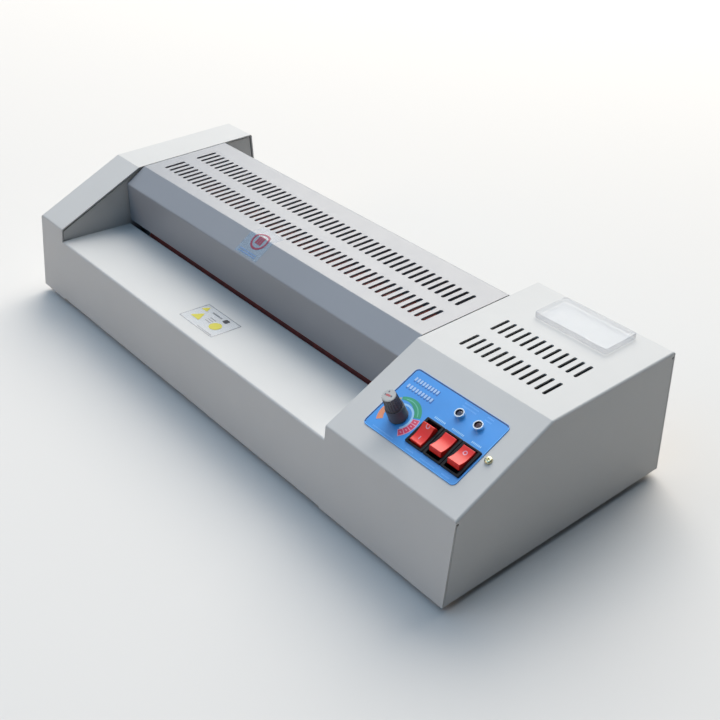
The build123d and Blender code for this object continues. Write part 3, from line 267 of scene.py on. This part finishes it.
def tinted_lens(name, colour):
    """Dark tinted lamp lens: deep colour under a clear glossy dome."""
    material, tree, shader = principled(name, colour, 0.12, Coat_Weight=0.8, Coat_Roughness=0.04)
    cloud = noise(tree, 3 * MM, 2.0)
    vary_colour(tree, shader, cloud, shade(colour, 0.8), shade(colour, 1.3))
    vary_roughness(tree, shader, cloud, 0.08, 0.18)
    return material


# How a metal's fine lines are stretched: not at all, round the X axis, or along Y.
ALL_WAYS = (1.0, 1.0, 1.0)
TURNED = (1.0, 0.05, 0.05)
ALONG_Y = (1.0, 0.05, 1.0)
FINISHES = {
    "case_paint": powder_coat("case_paint", (0.510, 0.512, 0.508), 0.50, 0.22),
    "zinc_plate": spangled_zinc(),
    "foot_rubber": moulded("foot_rubber", (0.022, 0.022, 0.023), 0.75, 0.8 * MM, 60 * MICRON),
    "screw_steel": plated_steel("screw_steel", (0.55, 0.55, 0.56), 0.30, 0.6 * MM, ALL_WAYS),
    "zinc_yellow": plated_steel("zinc_yellow", (0.74, 0.68, 0.44), 0.26, 0.5 * MM, ALL_WAYS),
    "bush_bronze": plated_steel("bush_bronze", (0.50, 0.30, 0.12), 0.42, 0.6 * MM, ALL_WAYS),
    "gear_plastic": moulded("gear_plastic", (0.74, 0.72, 0.64), 0.42, depth=20 * MICRON),
    "spring_steel": plated_steel("spring_steel", (0.30, 0.32, 0.38), 0.30, 0.8 * MM, ALONG_Y),
    "quartz": quartz_glass(),
    "ceramic": moulded("ceramic", (0.78, 0.77, 0.72), 0.30, 1.2 * MM, 40 * MICRON, Coat_Weight=0.2),
    "circuit_board": circuit_laminate(),
    "core_steel": laminated_core(),
    "black_plastic": moulded("black_plastic", (0.006, 0.006, 0.008), 0.40, Specular_IOR_Level=0.2),
    "pin_brass": plated_steel("pin_brass", (0.74, 0.62, 0.33), 0.28, 0.5 * MM, ALL_WAYS),
    "label_blue": printed_film("label_blue", (0.050, 0.270, 0.690)),
    "knob_plastic": moulded("knob_plastic", (0.085, 0.085, 0.095), 0.46),
    "knob_cap": moulded("knob_cap", (0.44, 0.44, 0.43), 0.36, depth=10 * MICRON),
    "bezel_chrome": plated_steel("bezel_chrome", (0.78, 0.79, 0.80), 0.14, 1 * MM, ALL_WAYS),
    "lens_blue": tinted_lens("lens_blue", (0.014, 0.014, 0.040)),
    "lens_red": tinted_lens("lens_red", (0.050, 0.008, 0.012)),
    "clear_acrylic": clear_film("clear_acrylic", (0.86, 0.91, 0.98), 0.09, 0.06),
    "rocker_red": moulded(
        "rocker_red", (0.70, 0.024, 0.016), 0.34, 0.8 * MM, 10 * MICRON, Specular_IOR_Level=0.4
    ),
    "core_aluminium": plated_steel("core_aluminium", (0.72, 0.73, 0.74), 0.32, 0.6 * MM, TURNED),
    "shaft_steel": plated_steel("shaft_steel", (0.58, 0.58, 0.60), 0.25, 0.6 * MM, TURNED),
    "silicone_red": silicone_rubber(),
}
COVER_PAINT = powder_coat("cover_paint", (0.235, 0.250, 0.278), 0.40, 0.75)
for name, node in nodes.items():
    node.data.materials.clear()
    node.data.materials.append(COVER_PAINT if name == "top_cover" else FINISHES[slot_of_node[name]])

INKS = {
    "ink_title": printed_film("ink_title", (0.34, 0.50, 0.74)),
    # Dark navy, used only as painted shade along the label's upper and left edges.
    "ink_navy_painted_shade": printed_film("ink_navy_painted_shade", (0.010, 0.030, 0.120)),
    "ink_shadow": printed_film("ink_shadow", (0.030, 0.140, 0.440)),
    # Pale sky blue: printed captions and a dial mark, and also painted highlight along the label's lower and right
    # edges.
    "ink_sky_print_and_highlight": printed_film("ink_sky_print_and_highlight", (0.130, 0.390, 0.820)),
    "ink_pale": printed_film("ink_pale", (0.300, 0.560, 0.840)),
    "ink_green": printed_film("ink_green", (0.030, 0.300, 0.160)),
    "ink_mint": printed_film("ink_mint", (0.120, 0.460, 0.330)),
    "ink_tan": printed_film("ink_tan", (0.36, 0.36, 0.24)),
    "ink_orange": printed_film("ink_orange", (0.66, 0.24, 0.12)),
    "ink_rose": printed_film("ink_rose", (0.60, 0.065, 0.130)),
    "ink_blush": printed_film("ink_blush", (0.62, 0.30, 0.42)),
    "ink_pointer": printed_film("ink_pointer", (0.46, 0.12, 0.12)),
    "ink_wine": printed_film("ink_wine", (0.260, 0.030, 0.070), 0.55, 0.0),
    "ink_yellow": printed_film("ink_yellow", (0.50, 0.45, 0.04), 0.6, 0.0),
    "ink_black": printed_film("ink_black", (0.012, 0.014, 0.022), 0.6, 0.0),
    "ink_grey": printed_film("ink_grey", (0.16, 0.17, 0.19)),
    "ink_slate": printed_film("ink_slate", (0.16, 0.26, 0.46), 0.55, 0.0),
    # Grey tints for the badge's walls and top bevel: painted shade for the light bent at the clear block's sides.
    "acrylic_wall_shade": clear_film("acrylic_wall_shade", (0.30, 0.32, 0.40), 0.26, 0.08),
    "acrylic_rim_shade": clear_film("acrylic_rim_shade", (0.16, 0.17, 0.22), 0.50, 0.08),
    "film_clear": clear_film("film_clear", (0.62, 0.68, 0.76), 0.10),
    "film_blue": clear_film("film_blue", (0.38, 0.51, 0.65), 0.25, 0.42),
}


# ================================================================ outlines and flat solids
def rounded_rectangle(centre, size, radius, steps=6):
    """Corners of a rounded rectangle, anticlockwise."""
    points = []
    for corner, (side_x, side_y) in enumerate(((1, 1), (-1, 1), (-1, -1), (1, -1))):
        corner_x = centre[0] + side_x * (size[0] / 2 - radius)
        corner_y = centre[1] + side_y * (size[1] / 2 - radius)
        for step in range(steps + 1):
            angle = math.radians(90 * (corner + step / steps))
            points.append((corner_x + radius * math.cos(angle), corner_y + radius * math.sin(angle)))
    return points


def polar(centre, radius, degrees):
    """Point at a radius and an angle from a centre."""
    angle = math.radians(degrees)
    return centre[0] + radius * math.cos(angle), centre[1] + radius * math.sin(angle)


def triangle(centre, width):
    """Corners of an upright triangle with blunt tips."""
    points = []
    tip_distance, tip_radius = width * 0.50, width * 0.06
    for tip in (90, 210, 330):
        tip_centre = polar(centre, tip_distance, tip)
        points += [polar(tip_centre, tip_radius, tip + turn) for turn in (-60, -20, 20, 60)]
    return points


class Piece:
    """Mesh being built from flat solids laid on a surface.

    place turns (across, along, height) into a point. Heights are above that surface.
    """

    def __init__(self, name, place, low, high):
        self.name = name
        self.place = place
        self.low = low
        self.high = high
        self.mesh = bmesh.new()
        self.materials = []

    def paint(self, faces, material):
        """Give faces a material, adding it to the piece when it is new there."""
        if material not in self.materials:
            self.materials.append(material)
        for face in faces:
            face.material_index = self.materials.index(material)

    def slab(self, outline, material, layer=0):
        """Flat solid over an outline. A higher layer stands proud of the ones below it."""
        top_height = self.high + layer * (self.high - self.low)
        below = [self.mesh.verts.new(self.place(u, v, self.low)) for u, v in outline]
        above = [self.mesh.verts.new(self.place(u, v, top_height)) for u, v in outline]
        faces = [self.mesh.faces.new(above), self.mesh.faces.new(below[::-1])]
        for first in range(len(outline)):
            second = (first + 1) % len(outline)
            faces.append(self.mesh.faces.new((below[first], below[second], above[second], above[first])))
        self.paint(faces, material)

    def band(self, left, right, material, closed=False, layer=0):
        """Solid between two lines of points, in short quads so that it can follow a bend."""
        top_height = self.high + layer * (self.high - self.low)
        rows = []
        for line in (left, right):
            rows.append([self.mesh.verts.new(self.place(u, v, self.low)) for u, v in line])
            rows.append([self.mesh.verts.new(self.place(u, v, top_height)) for u, v in line])
        left_low, left_high, right_low, right_high = rows
        faces = []
        count = len(left)
        around = (left_high, right_high, right_low, left_low)
        for first in range(count if closed else count - 1):
            second = (first + 1) % count
            for a, b in zip(around, around[1:] + around[:1]):
                faces.append(self.mesh.faces.new((a[first], b[first], b[second], a[second])))
        if not closed:
            for end in (0, -1):
                faces.append(self.mesh.faces.new([row[end] for row in around]))
        self.paint(faces, material)

    def finish(self, body):
        """Turn the mesh into an object that rides on a body."""
        bmesh.ops.recalc_face_normals(self.mesh, faces=self.mesh.faces)
        data = bpy.data.meshes.new(self.name)
        self.mesh.to_mesh(data)
        self.mesh.free()
        for material in self.materials:
            data.materials.append(material)
        piece = bpy.data.objects.new(self.name, data)
        bpy.context.scene.collection.objects.link(piece)
        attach(piece, body)


# ================================================================ measuring CAD surfaces
def reach(node_name, origin, direction):
    """How far a node stands out from origin along a direction."""
    return max((vertex.co - origin).dot(direction) for vertex in nodes[node_name].data.vertices)


def surface_tree(node_name):
    """Search tree over a node's faces."""
    node = nodes[node_name]
    vertices = [vertex.co for vertex in node.data.vertices]
    return BVHTree.FromPolygons(vertices, [tuple(face.vertices) for face in node.data.polygons])


def surface_profile(node_name, x, start_y, end_y, steps):
    """Points and normals where upright rays at x meet a node from above, from start_y to end_y."""
    tree = surface_tree(node_name)
    profile = []
    for step in range(steps + 1):
        y = start_y + (end_y - start_y) * step / steps
        point, normal, _, _ = tree.ray_cast(Vector((x, y, RAY_START)), -Z_AXIS)
        profile.append((point, normal if normal.z > 0 else -normal))
    return profile


def along_profile(profile):
    """Placing function over a profile: across is x, along is the distance down it from its start."""
    distances = [0.0]
    rounding = 1e-9
    for (first, _), (second, _) in zip(profile, profile[1:]):
        distances.append(distances[-1] + (second - first).length)

    def place(x, along, height):
        position = min(max(along, 0.0), distances[-1])
        index = next(i for i in range(1, len(distances)) if distances[i] >= position - rounding)
        part = (position - distances[index - 1]) / (distances[index] - distances[index - 1])
        point = profile[index - 1][0].lerp(profile[index][0], part)
        normal = profile[index - 1][1].lerp(profile[index][1], part).normalized()
        return Vector((x, point.y, point.z)) + normal * height

    return place, distances[-1]


# ================================================================ control panel print
knob_joint = joints["knob_turn"]
knob_base = Vector(knob_joint["pos_m"])
panel_normal = Vector(knob_joint["axis"]).normalized()
up_slope = panel_normal.cross(X_AXIS)
CLEAR_OF_KNOB = 20 * MM
label_face = reach("panel_label", knob_base, panel_normal)
label_top = reach("panel_label", knob_base, up_slope)
label_bottom = -reach("panel_label", knob_base, -up_slope)
label_low, label_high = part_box("panel_label")
PRINT_LOW, PRINT_HIGH = 0.02 * MM, 0.06 * MM


def on_panel(x, up, height):
    """Point at x, up the slope from the knob's axis, at a height above the label."""
    return Vector((x, knob_base.y, knob_base.z)) + up_slope * up + panel_normal * (label_face + height)


def blocks(piece, centre, width, height, material, count=None, layer=0):
    """Dummy wording: a row of plain upright blocks, as wide as a caption."""
    usual_pitch = height * 0.84
    count = count or max(1, round(width / usual_pitch))
    pitch = width / count
    block = pitch * 0.62
    for number in range(count):
        across = centre[0] + (number - (count - 1) / 2) * pitch
        piece.slab(rounded_rectangle((across, centre[1]), (block, height), block * 0.3, 2), material, layer)


def label_border(piece):
    """Painted shade as a dark line inside the label's upper and left edges, and painted highlight as a pale line
    inside the other two, standing in for the light and shade at the rim of a label set in a recess.
    """
    centre = ((label_low.x + label_high.x) / 2, (label_top + label_bottom) / 2)
    width = label_high.x - label_low.x
    height = label_top - label_bottom
    outer = rounded_rectangle(centre, (width - 0.5 * MM, height - 0.5 * MM), 3.0 * MM)
    shaded_inner = rounded_rectangle(centre, (width - 2.0 * MM, height - 2.0 * MM), 2.3 * MM)
    lit_inner = rounded_rectangle(centre, (width - 1.3 * MM, height - 1.3 * MM), 2.6 * MM)
    quarter = len(outer) // 4
    # Painted shade: dark line along the upper and left edges.
    dark = slice(quarter // 2, quarter * 5 // 2 + 1)
    piece.band(outer[dark], shaded_inner[dark], INKS["ink_navy_painted_shade"])
    # Painted highlight: pale line along the lower and right edges.
    pale = list(range(quarter * 5 // 2, len(outer))) + list(range(0, quarter // 2 + 1))
    piece.band([outer[i] for i in pale], [lit_inner[i] for i in pale], INKS["ink_sky_print_and_highlight"])


def arc_band(piece, centre, start, end, radii, material, layer=0):
    """Part of a ring; radii gives the inner and outer radius at each end."""
    degrees_per_step = 4
    steps = max(2, round(abs(end - start) / degrees_per_step))
    inner, outer = [], []
    for step in range(steps + 1):
        part = step / steps
        angle = start + (end - start) * part
        inner.append(polar(centre, radii[0][0] + (radii[1][0] - radii[0][0]) * part, angle))
        outer.append(polar(centre, radii[0][1] + (radii[1][1] - radii[0][1]) * part, angle))
    piece.band(inner, outer, material, layer=layer)


def ring_part(piece, start, end, inner, outer, ink, layer=0):
    """Part of a ring round the knob, of even width."""
    arc_band(piece, (knob_base.x, 0.0), start, end, ((inner, outer), (inner, outer)), INKS[ink], layer)


def temperature_dial(piece):
    """Coloured scale round the knob: pale inner ring, orange, tan, green band and four rose keys."""
    centre = (knob_base.x, 0.0)
    near, far = 10.2 * MM, 14.6 * MM
    ring_part(piece, 128, -42, 8.5 * MM, near - 0.3 * MM, "ink_pale")
    ring_part(piece, 205, 160, 8.3 * MM, 9.0 * MM, "ink_sky_print_and_highlight")
    arc_band(piece, centre, 222, 167, ((near, far), (near, far - 1 * MM)), INKS["ink_orange"])
    tan_start, tan_end = (far - 2.4 * MM, far - 1 * MM), (far - 1.6 * MM, far)
    arc_band(piece, centre, 163, 127, (tan_start, tan_end), INKS["ink_tan"])
    green_start, green_middle = (far - 1.8 * MM, far + 0.4 * MM), (near, far + 0.6 * MM)
    arc_band(piece, centre, 125, 70, (green_start, green_middle), INKS["ink_green"])
    arc_band(piece, centre, 70, 26, (green_middle, (near - 0.4 * MM, far)), INKS["ink_green"])
    mint_start, mint_end = (12.9 * MM, 13.5 * MM), (11.9 * MM, 12.5 * MM)
    arc_band(piece, centre, 112, 30, (mint_start, mint_end), INKS["ink_mint"], layer=1)
    keys, first, step, gap = 4, 19.5, -17.0, 2.5
    ring_part(piece, 21, 20 + keys * step, near - 0.3 * MM, far + 0.5 * MM, "ink_blush")
    for key in range(keys):
        start = first + key * step
        ring_part(piece, start, start + step + gap, near + 0.2 * MM, far - 0.1 * MM, "ink_rose", layer=1)
        mark = polar(centre, (near + far) / 2, start + (step + gap) / 2)
        piece.slab(rounded_rectangle(mark, (1.5 * MM, 0.7 * MM), 0.2 * MM, 2), INKS["ink_blush"], layer=2)


def panel_print():
    """Everything printed on the label."""
    piece = Piece("label_print", on_panel, PRINT_LOW, PRINT_HIGH)
    label_border(piece)
    temperature_dial(piece)
    title_x, letters = label_low.x + 15.6 * MM, 9
    title_rows = ((26.9 * MM, 22.6 * MM), (20.4 * MM, 24.0 * MM))
    for up, width in title_rows:
        shadow_centre = (title_x + 0.3 * MM, up - 0.35 * MM)
        blocks(piece, shadow_centre, width, 4.0 * MM, INKS["ink_shadow"], letters)
        face_centre = (title_x - 0.2 * MM, up + 0.2 * MM)
        blocks(piece, face_centre, width - 0.9 * MM, 2.9 * MM, INKS["ink_title"], letters, layer=1)
    fine_height = 1.0 * MM
    for lamp, width in (("power_lamp_lens", 11.7 * MM), ("ready_lamp_lens", 5.4 * MM)):
        low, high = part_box(lamp)
        lamp_x = (low.x + high.x) / 2
        for up in (31.3 * MM, 28.9 * MM):
            blocks(piece, (lamp_x + 2.0 * MM, up), width, fine_height, INKS["ink_sky_print_and_highlight"])
    captions = (
        ("power_rock", 9.5 * MM, 6.7 * MM),
        ("heat_rock", 10.0 * MM, 12.5 * MM),
        ("reverse_rock", 7.9 * MM, 6.7 * MM),
    )
    above_switch, below_switch = 12.8 * MM, -14.2 * MM
    for joint_name, upper_width, lower_width in captions:
        switch_x = joints[joint_name]["pos_m"][0]
        blocks(piece, (switch_x, above_switch), upper_width, 1.4 * MM, INKS["ink_pale"])
        blocks(piece, (switch_x, below_switch), lower_width, fine_height, INKS["ink_sky_print_and_highlight"])
    blocks(piece, (knob_base.x, below_switch), 18.4 * MM, fine_height, INKS["ink_sky_print_and_highlight"])
    piece.finish("chassis")


panel_print()


# ================================================================ knob
def knob_pointer():
    """Red line on the knob's cap, with dark dots at its ends and near the rim."""
    top = reach("knob_cap", knob_base, panel_normal)
    radius = reach("knob_cap", knob_base, X_AXIS)
    turn = math.radians(10)
    pointer_way = X_AXIS * math.cos(turn) + up_slope * math.sin(turn)
    side_way = up_slope * math.cos(turn) - X_AXIS * math.sin(turn)

    def on_cap(across, along, height):
        return knob_base + pointer_way * across + side_way * along + panel_normal * (top + height)

    piece = Piece("knob_pointer", on_cap, PRINT_LOW, PRINT_HIGH)
    line = rounded_rectangle((-0.12 * radius, 0), (0.80 * radius, 0.36 * radius), 0.12 * radius)
    piece.slab(line, INKS["ink_pointer"])
    dot_size = (0.26 * radius, 0.32 * radius)
    for across, along in ((-0.66, 0.0), (0.46, 0.0), (-0.36, 0.62)):
        dot = rounded_rectangle((across * radius, along * radius), dot_size, 0.1 * radius)
        piece.slab(dot, INKS["ink_grey"])
    piece.finish("knob")


def knob_rim():
    """Light band round the knob's cap, running down over the tips of the ridges between the flutes."""
    top = reach("knob_body", knob_base, panel_normal)
    low, high = -0.02 * MM, 0.04 * MM
    cap_radius = reach("knob_cap", knob_base, X_AXIS)
    tree = surface_tree("knob_body")

    def around(turn):
        return X_AXIS * math.cos(turn) + up_slope * math.sin(turn)

    def on_side(turn, level, height):
        start = knob_base + panel_normal * level + around(turn) * CLEAR_OF_KNOB
        point = tree.ray_cast(start, -around(turn))[0]
        return point + around(turn) * height

    def on_top(turn, radius, height):
        return knob_base + around(turn) * radius + panel_normal * (top + height)

    ridges, half_width = 18, math.radians(5.5)
    lowest_level, level_step, level_count = top - 4.2 * MM, 0.4 * MM, 11
    levels = [lowest_level + step * level_step for step in range(level_count)]
    tips = Piece("knob_ridge_tips", on_side, low, high)
    for ridge in range(ridges):
        turn = 2 * math.pi * (ridge + 0.5) / ridges
        left = [(turn - half_width, level) for level in levels]
        right = [(turn + half_width, level) for level in levels]
        tips.band(left, right, FINISHES["knob_cap"])
    tips.finish("knob")
    rim = Piece("knob_rim_band", on_top, low, high)
    turns = [math.radians(turn) for turn in range(0, 360, 10)]
    rim_gap, rim_width = 0.05 * MM, 0.40 * MM
    inner = [(turn, cap_radius + rim_gap) for turn in turns]
    outer = [(turn, cap_radius + rim_gap + rim_width) for turn in turns]
    rim.band(inner, outer, FINISHES["knob_cap"], closed=True)
    rim.finish("knob")


knob_pointer()
knob_rim()


# ================================================================ rocker marks
def rocker_mark(joint_name, half, shape):
    """Soft pale mark on one half of a rocker, laid on its hollow face. half is 1 at its back end."""
    pivot = Vector(joints[joint_name]["pos_m"])
    rocker_name = joint_name.replace("_rock", "_rocker")
    tree = surface_tree(rocker_name)
    middle = pivot + up_slope * half * 4.1 * MM + panel_normal * CLEAR_OF_KNOB

    def on_rocker(across, along, height):
        start = middle + X_AXIS * across + up_slope * along
        point = tree.ray_cast(start, -panel_normal)[0]
        return point + panel_normal * height

    place_name = "back" if half > 0 else "front"
    mark = Piece(f"{rocker_name}_{place_name}_mark", on_rocker, -0.03 * MM, 0.05 * MM)
    if shape == "ring":
        turns = range(0, 360, 15)
        inner_radius, outer_radius = 0.95 * MM, 1.55 * MM
        inner = [polar((0, 0), inner_radius, turn) for turn in turns]
        outer = [polar((0, 0), outer_radius, turn) for turn in turns]
        mark.band(inner, outer, INKS["ink_blush"], closed=True)
    else:
        half_width = 0.3 * MM
        distances = [step * 0.4 * MM for step in range(-3, 4)]
        left = [(-half_width, along) for along in distances]
        right = [(half_width, along) for along in distances]
        mark.band(left, right, INKS["ink_blush"])
    mark.finish(f"{rocker_name}_body")


rocker_mark("power_rock", 1, "ring")
rocker_mark("power_rock", -1, "bar")
rocker_mark("reverse_rock", 1, "ring")


# ================================================================ clear badge
def clear_badge():
    """Clear block with bevelled rims, held just above the hood by its adhesive. Its walls are tinted grey and its
    top bevel darker grey, as painted shade for the light bent at a clear block's sides.
    """
    low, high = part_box("clear_badge")
    gap, rim, corner = 0.25 * MM, 0.40 * MM, 1.8 * MM
    centre = ((low.x + high.x) / 2, (low.y + high.y) / 2)
    size = (high.x - low.x, high.y - low.y)
    levels = (
        (low.z + gap, rim),
        (low.z + gap + rim, 0.0),
        (high.z - rim, 0.0),
        (high.z - 0.3 * rim, 0.3 * rim),
        (high.z, rim),
    )
    block = bmesh.new()
    rows = []
    wall, edge, face = 0, 1, 2
    # The walls and the top bevel take the grey tints that are painted shade; the bottom bevel takes the clear
    # face.
    looks = (face, wall, wall, edge)
    corner_steps = 8
    for z, inset in levels:
        level_size = (size[0] - 2 * inset, size[1] - 2 * inset)
        outline = rounded_rectangle(centre, level_size, corner - inset, corner_steps)
        rows.append([block.verts.new((x, y, z)) for x, y in outline])
    for lower, upper, look in zip(rows, rows[1:], looks):
        for first in range(len(lower)):
            second = (first + 1) % len(lower)
            quad = block.faces.new((lower[first], lower[second], upper[second], upper[first]))
            quad.material_index = look
    for cap in (rows[0][::-1], rows[-1]):
        block.faces.new(cap).material_index = face
    data = bpy.data.meshes.new("badge_block")
    block.to_mesh(data)
    block.free()
    for material in (INKS["acrylic_wall_shade"], INKS["acrylic_rim_shade"], FINISHES["clear_acrylic"]):
        data.materials.append(material)
    piece = bpy.data.objects.new("badge_block", data)
    bpy.context.scene.collection.objects.link(piece)
    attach(piece, "chassis")
    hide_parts("clear_badge")


clear_badge()


# ================================================================ clear stickers
FILM_LOW, FILM_HIGH = 0.05 * MM, 0.12 * MM
FILM_PRINT_LOW, FILM_PRINT_HIGH = 0.14 * MM, 0.18 * MM


def film(piece, left, right, start, end, material, steps):
    """Rectangular film from start to end along the surface."""
    lines = []
    for x in (left, right):
        lines.append([(x, start + (end - start) * step / steps) for step in range(steps + 1)])
    piece.band(lines[0], lines[1], material)


def cover_sticker():
    """Clear film folded over the cover's front bend, bluish below it, with a red ring.

    Its profile is read at the cover's end, where no vent slots interrupt it.
    """
    solid_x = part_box("top_cover")[0].x + 4 * MM
    left, right = -58.0 * MM, -31.0 * MM
    rear, front = -3.6 * MM, -31.4 * MM
    place, length = along_profile(surface_profile("top_cover", solid_x, rear, front, 60))
    bend = 11.4 * MM
    piece = Piece("cover_film", place, FILM_LOW, FILM_HIGH)
    film(piece, left, right, 0.0, bend, INKS["film_clear"], 20)
    film(piece, left, right, bend, length, INKS["film_blue"], 50)
    piece.finish("chassis")
    art = Piece("cover_film_print", place, FILM_PRINT_LOW, FILM_PRINT_HIGH)
    centre = (-43.4 * MM, 14.6 * MM)
    inner_radius, outer_radius = 6.6 * MM, 8.25 * MM
    turns = range(0, 360, 8)
    inner = [polar(centre, inner_radius, turn) for turn in turns]
    outer = [polar(centre, outer_radius, turn) for turn in turns]
    art.band(inner, outer, INKS["ink_wine"], closed=True)
    bar_start, bar_end = centre[1] - 3.8 * MM, centre[1] + 3.4 * MM
    bar_pitch, bar_half_width = 2.4 * MM, 0.95 * MM
    for number in (-1, 0, 1):
        across = centre[0] + number * bar_pitch
        bar_left, bar_right = across - bar_half_width, across + bar_half_width
        film(art, bar_left, bar_right, bar_start, bar_end, INKS["ink_wine"], 12)
    for line_start in (26.2 * MM, 28.2 * MM):
        line_end = line_start + 0.9 * MM
        film(art, left + 3 * MM, right - 4 * MM, line_start, line_end, INKS["ink_slate"], 2)
    art.finish("chassis")


def table_sticker():
    """Clear film on the feed table, with plain yellow signs and grey bars."""
    left, right = -56.0 * MM, -13.5 * MM
    rear, front = -58.3 * MM, -85.5 * MM
    middle = (left + right) / 2
    place, length = along_profile(surface_profile("front_panel", middle, rear, front, 20))
    piece = Piece("table_film", place, FILM_LOW, FILM_HIGH)
    film(piece, left, right, 0.0, length, INKS["film_clear"], 20)
    piece.finish("chassis")

    def flipped(x, down, height):
        return place(x, -down, height)

    art = Piece("table_film_print", flipped, FILM_PRINT_LOW, FILM_PRINT_HIGH)
    inset, line = 0.4 * MM, 0.35 * MM
    for edge_x in (left + inset, right - inset):
        edge_line = rounded_rectangle((edge_x, -length / 2), (line, length - 2 * inset), 0.1 * MM, 1)
        art.slab(edge_line, INKS["ink_grey"])
    for edge_down in (inset, length - inset):
        edge_line = rounded_rectangle((middle, -edge_down), (right - left - 2 * inset, line), 0.1 * MM, 1)
        art.slab(edge_line, INKS["ink_grey"])
    art.slab(triangle((left + 5.6 * MM, -6.4 * MM), 6.6 * MM), INKS["ink_yellow"])
    blocks(art, (left + 19.0 * MM, -5.4 * MM), 12.0 * MM, 1.6 * MM, INKS["ink_grey"])
    square = rounded_rectangle((right - 12.5 * MM, -5.2 * MM), (4.8 * MM, 4.6 * MM), 1.2 * MM)
    art.slab(square, INKS["ink_black"])
    art.slab(triangle((left + 10.6 * MM, -17.2 * MM), 10.2 * MM), INKS["ink_yellow"])
    disc = [polar((left + 31.0 * MM, -15.6 * MM), 5.0 * MM, turn) for turn in range(0, 360, 12)]
    art.slab(disc, INKS["ink_yellow"])
    first_row, row_pitch = -11.0 * MM, 2.4 * MM
    for row in range(3):
        row_centre = (left + 21.5 * MM, first_row - row * row_pitch)
        blocks(art, row_centre, 7.0 * MM, 0.9 * MM, INKS["ink_grey"])
    blocks(art, (left + 31.0 * MM, -25.4 * MM), 18.0 * MM, 1.0 * MM, INKS["ink_grey"])
    art.finish("chassis")


cover_sticker()
table_sticker()


# ================================================================ studio
def studio_floor():
    """Large pale floor."""
    radius = 12.0
    bpy.ops.mesh.primitive_circle_add(vertices=96, radius=radius, fill_type="NGON", location=(0, 0, 0))
    floor = bpy.context.object
    floor.name = "studio_floor"
    paint = principled("floor_paint", (0.62, 0.608, 0.592), 0.9, Specular_IOR_Level=0.1)[0]
    floor.data.materials.append(paint)


def studio_backdrop():
    """Pale wall all round, which only shows behind the machine: it gives no light and casts no shadow. Its glow
    darkens towards its foot, as painted shade that meets the dimly lit far floor.
    """
    radius, height = 6.0, 6.0
    bpy.ops.mesh.primitive_cylinder_add(
        vertices=96, radius=radius, depth=height, end_fill_type="NOTHING", location=(0, 0, height / 2)
    )
    wall = bpy.context.object
    wall.name = "studio_backdrop"
    wall.visible_diffuse = False
    wall.visible_glossy = False
    wall.visible_transmission = False
    wall.visible_volume_scatter = False
    wall.visible_shadow = False
    material, tree, shader = principled("backdrop_paint", (0.0, 0.0, 0.0), 1.0, Specular_IOR_Level=0.0)
    source = tree.nodes.new("ShaderNodeTexCoord")
    split = tree.nodes.new("ShaderNodeSeparateXYZ")
    tree.links.new(source.outputs["Generated"], split.inputs["Vector"])
    # Painted shade: the glow darkens towards the wall's foot.
    glow_with_painted_shade = ramp(tree, split.outputs["Z"], (0.34, 0.37, 0.40), (0.68, 0.69, 0.70), 0.0, 0.25)
    tree.links.new(glow_with_painted_shade, shader.inputs["Emission Color"])
    shader.inputs["Emission Strength"].default_value = 1.0
    wall.data.materials.append(material)


def soft_light(name, place, size, power, colour):
    """Square soft box that faces the machine's middle."""
    data = bpy.data.lights.new(name, "AREA")
    data.size = size
    data.energy = power
    data.color = colour
    light = bpy.data.objects.new(name, data)
    bpy.context.scene.collection.objects.link(light)
    light.location = place
    aim = Vector((0, 0, 50 * MM))
    light.rotation_euler = (aim - Vector(place)).to_track_quat("-Z", "Y").to_euler()


def sky(low_colour, high_colour):
    """Light from all round, dim at the horizon and bright overhead, a little brighter on the left."""
    world = bpy.data.worlds.new("studio_sky")
    world.use_nodes = True
    tree = world.node_tree
    source = tree.nodes.new("ShaderNodeTexCoord")
    towards = tree.nodes.new("ShaderNodeVectorMath")
    towards.operation = "DOT_PRODUCT"
    towards.inputs[1].default_value = (-0.35, 0.0, 0.94)
    tree.links.new(source.outputs["Generated"], towards.inputs[0])
    blend = ramp(tree, towards.outputs["Value"], low_colour, high_colour, 0.42, 1.0)
    tree.links.new(blend, tree.nodes["Background"].inputs["Color"])
    bpy.context.scene.world = world


def studio_camera():
    """Camera above the control end, looking along the machine from the feed side."""
    place = (0.56869, -0.44653, 0.49043)
    data = bpy.data.cameras.new("studio_camera")
    data.lens = 55.43
    camera = bpy.data.objects.new("studio_camera", data)
    bpy.context.scene.collection.objects.link(camera)
    yaw, pitch, roll = math.radians(49.11), math.radians(-33.56), math.radians(0.957)
    heading = Matrix.Rotation(yaw, 4, "Z")
    tilt = Matrix.Rotation(math.pi / 2 + pitch, 4, "X")
    lean = Matrix.Rotation(roll, 4, "Z")
    camera.matrix_world = Matrix.Translation(place) @ heading @ tilt @ lean
    bpy.context.scene.camera = camera


studio_floor()
studio_backdrop()
sky((0.018, 0.016, 0.014), (0.69, 0.85, 1.03))
soft_light("key_light", (-1.5, 2.4, 3.1), 4.0, 296, (1.0, 0.93, 0.84))
soft_light("cool_front", (-0.4, -2.0, 2.4), 2.5, 20, (0.12, 0.55, 1.0))
soft_light("front_fill", (-1.0, -2.4, 1.0), 1.4, 14, (1.0, 0.62, 0.30))
studio_camera()
bpy.context.scene.view_settings.view_transform = "Standard"
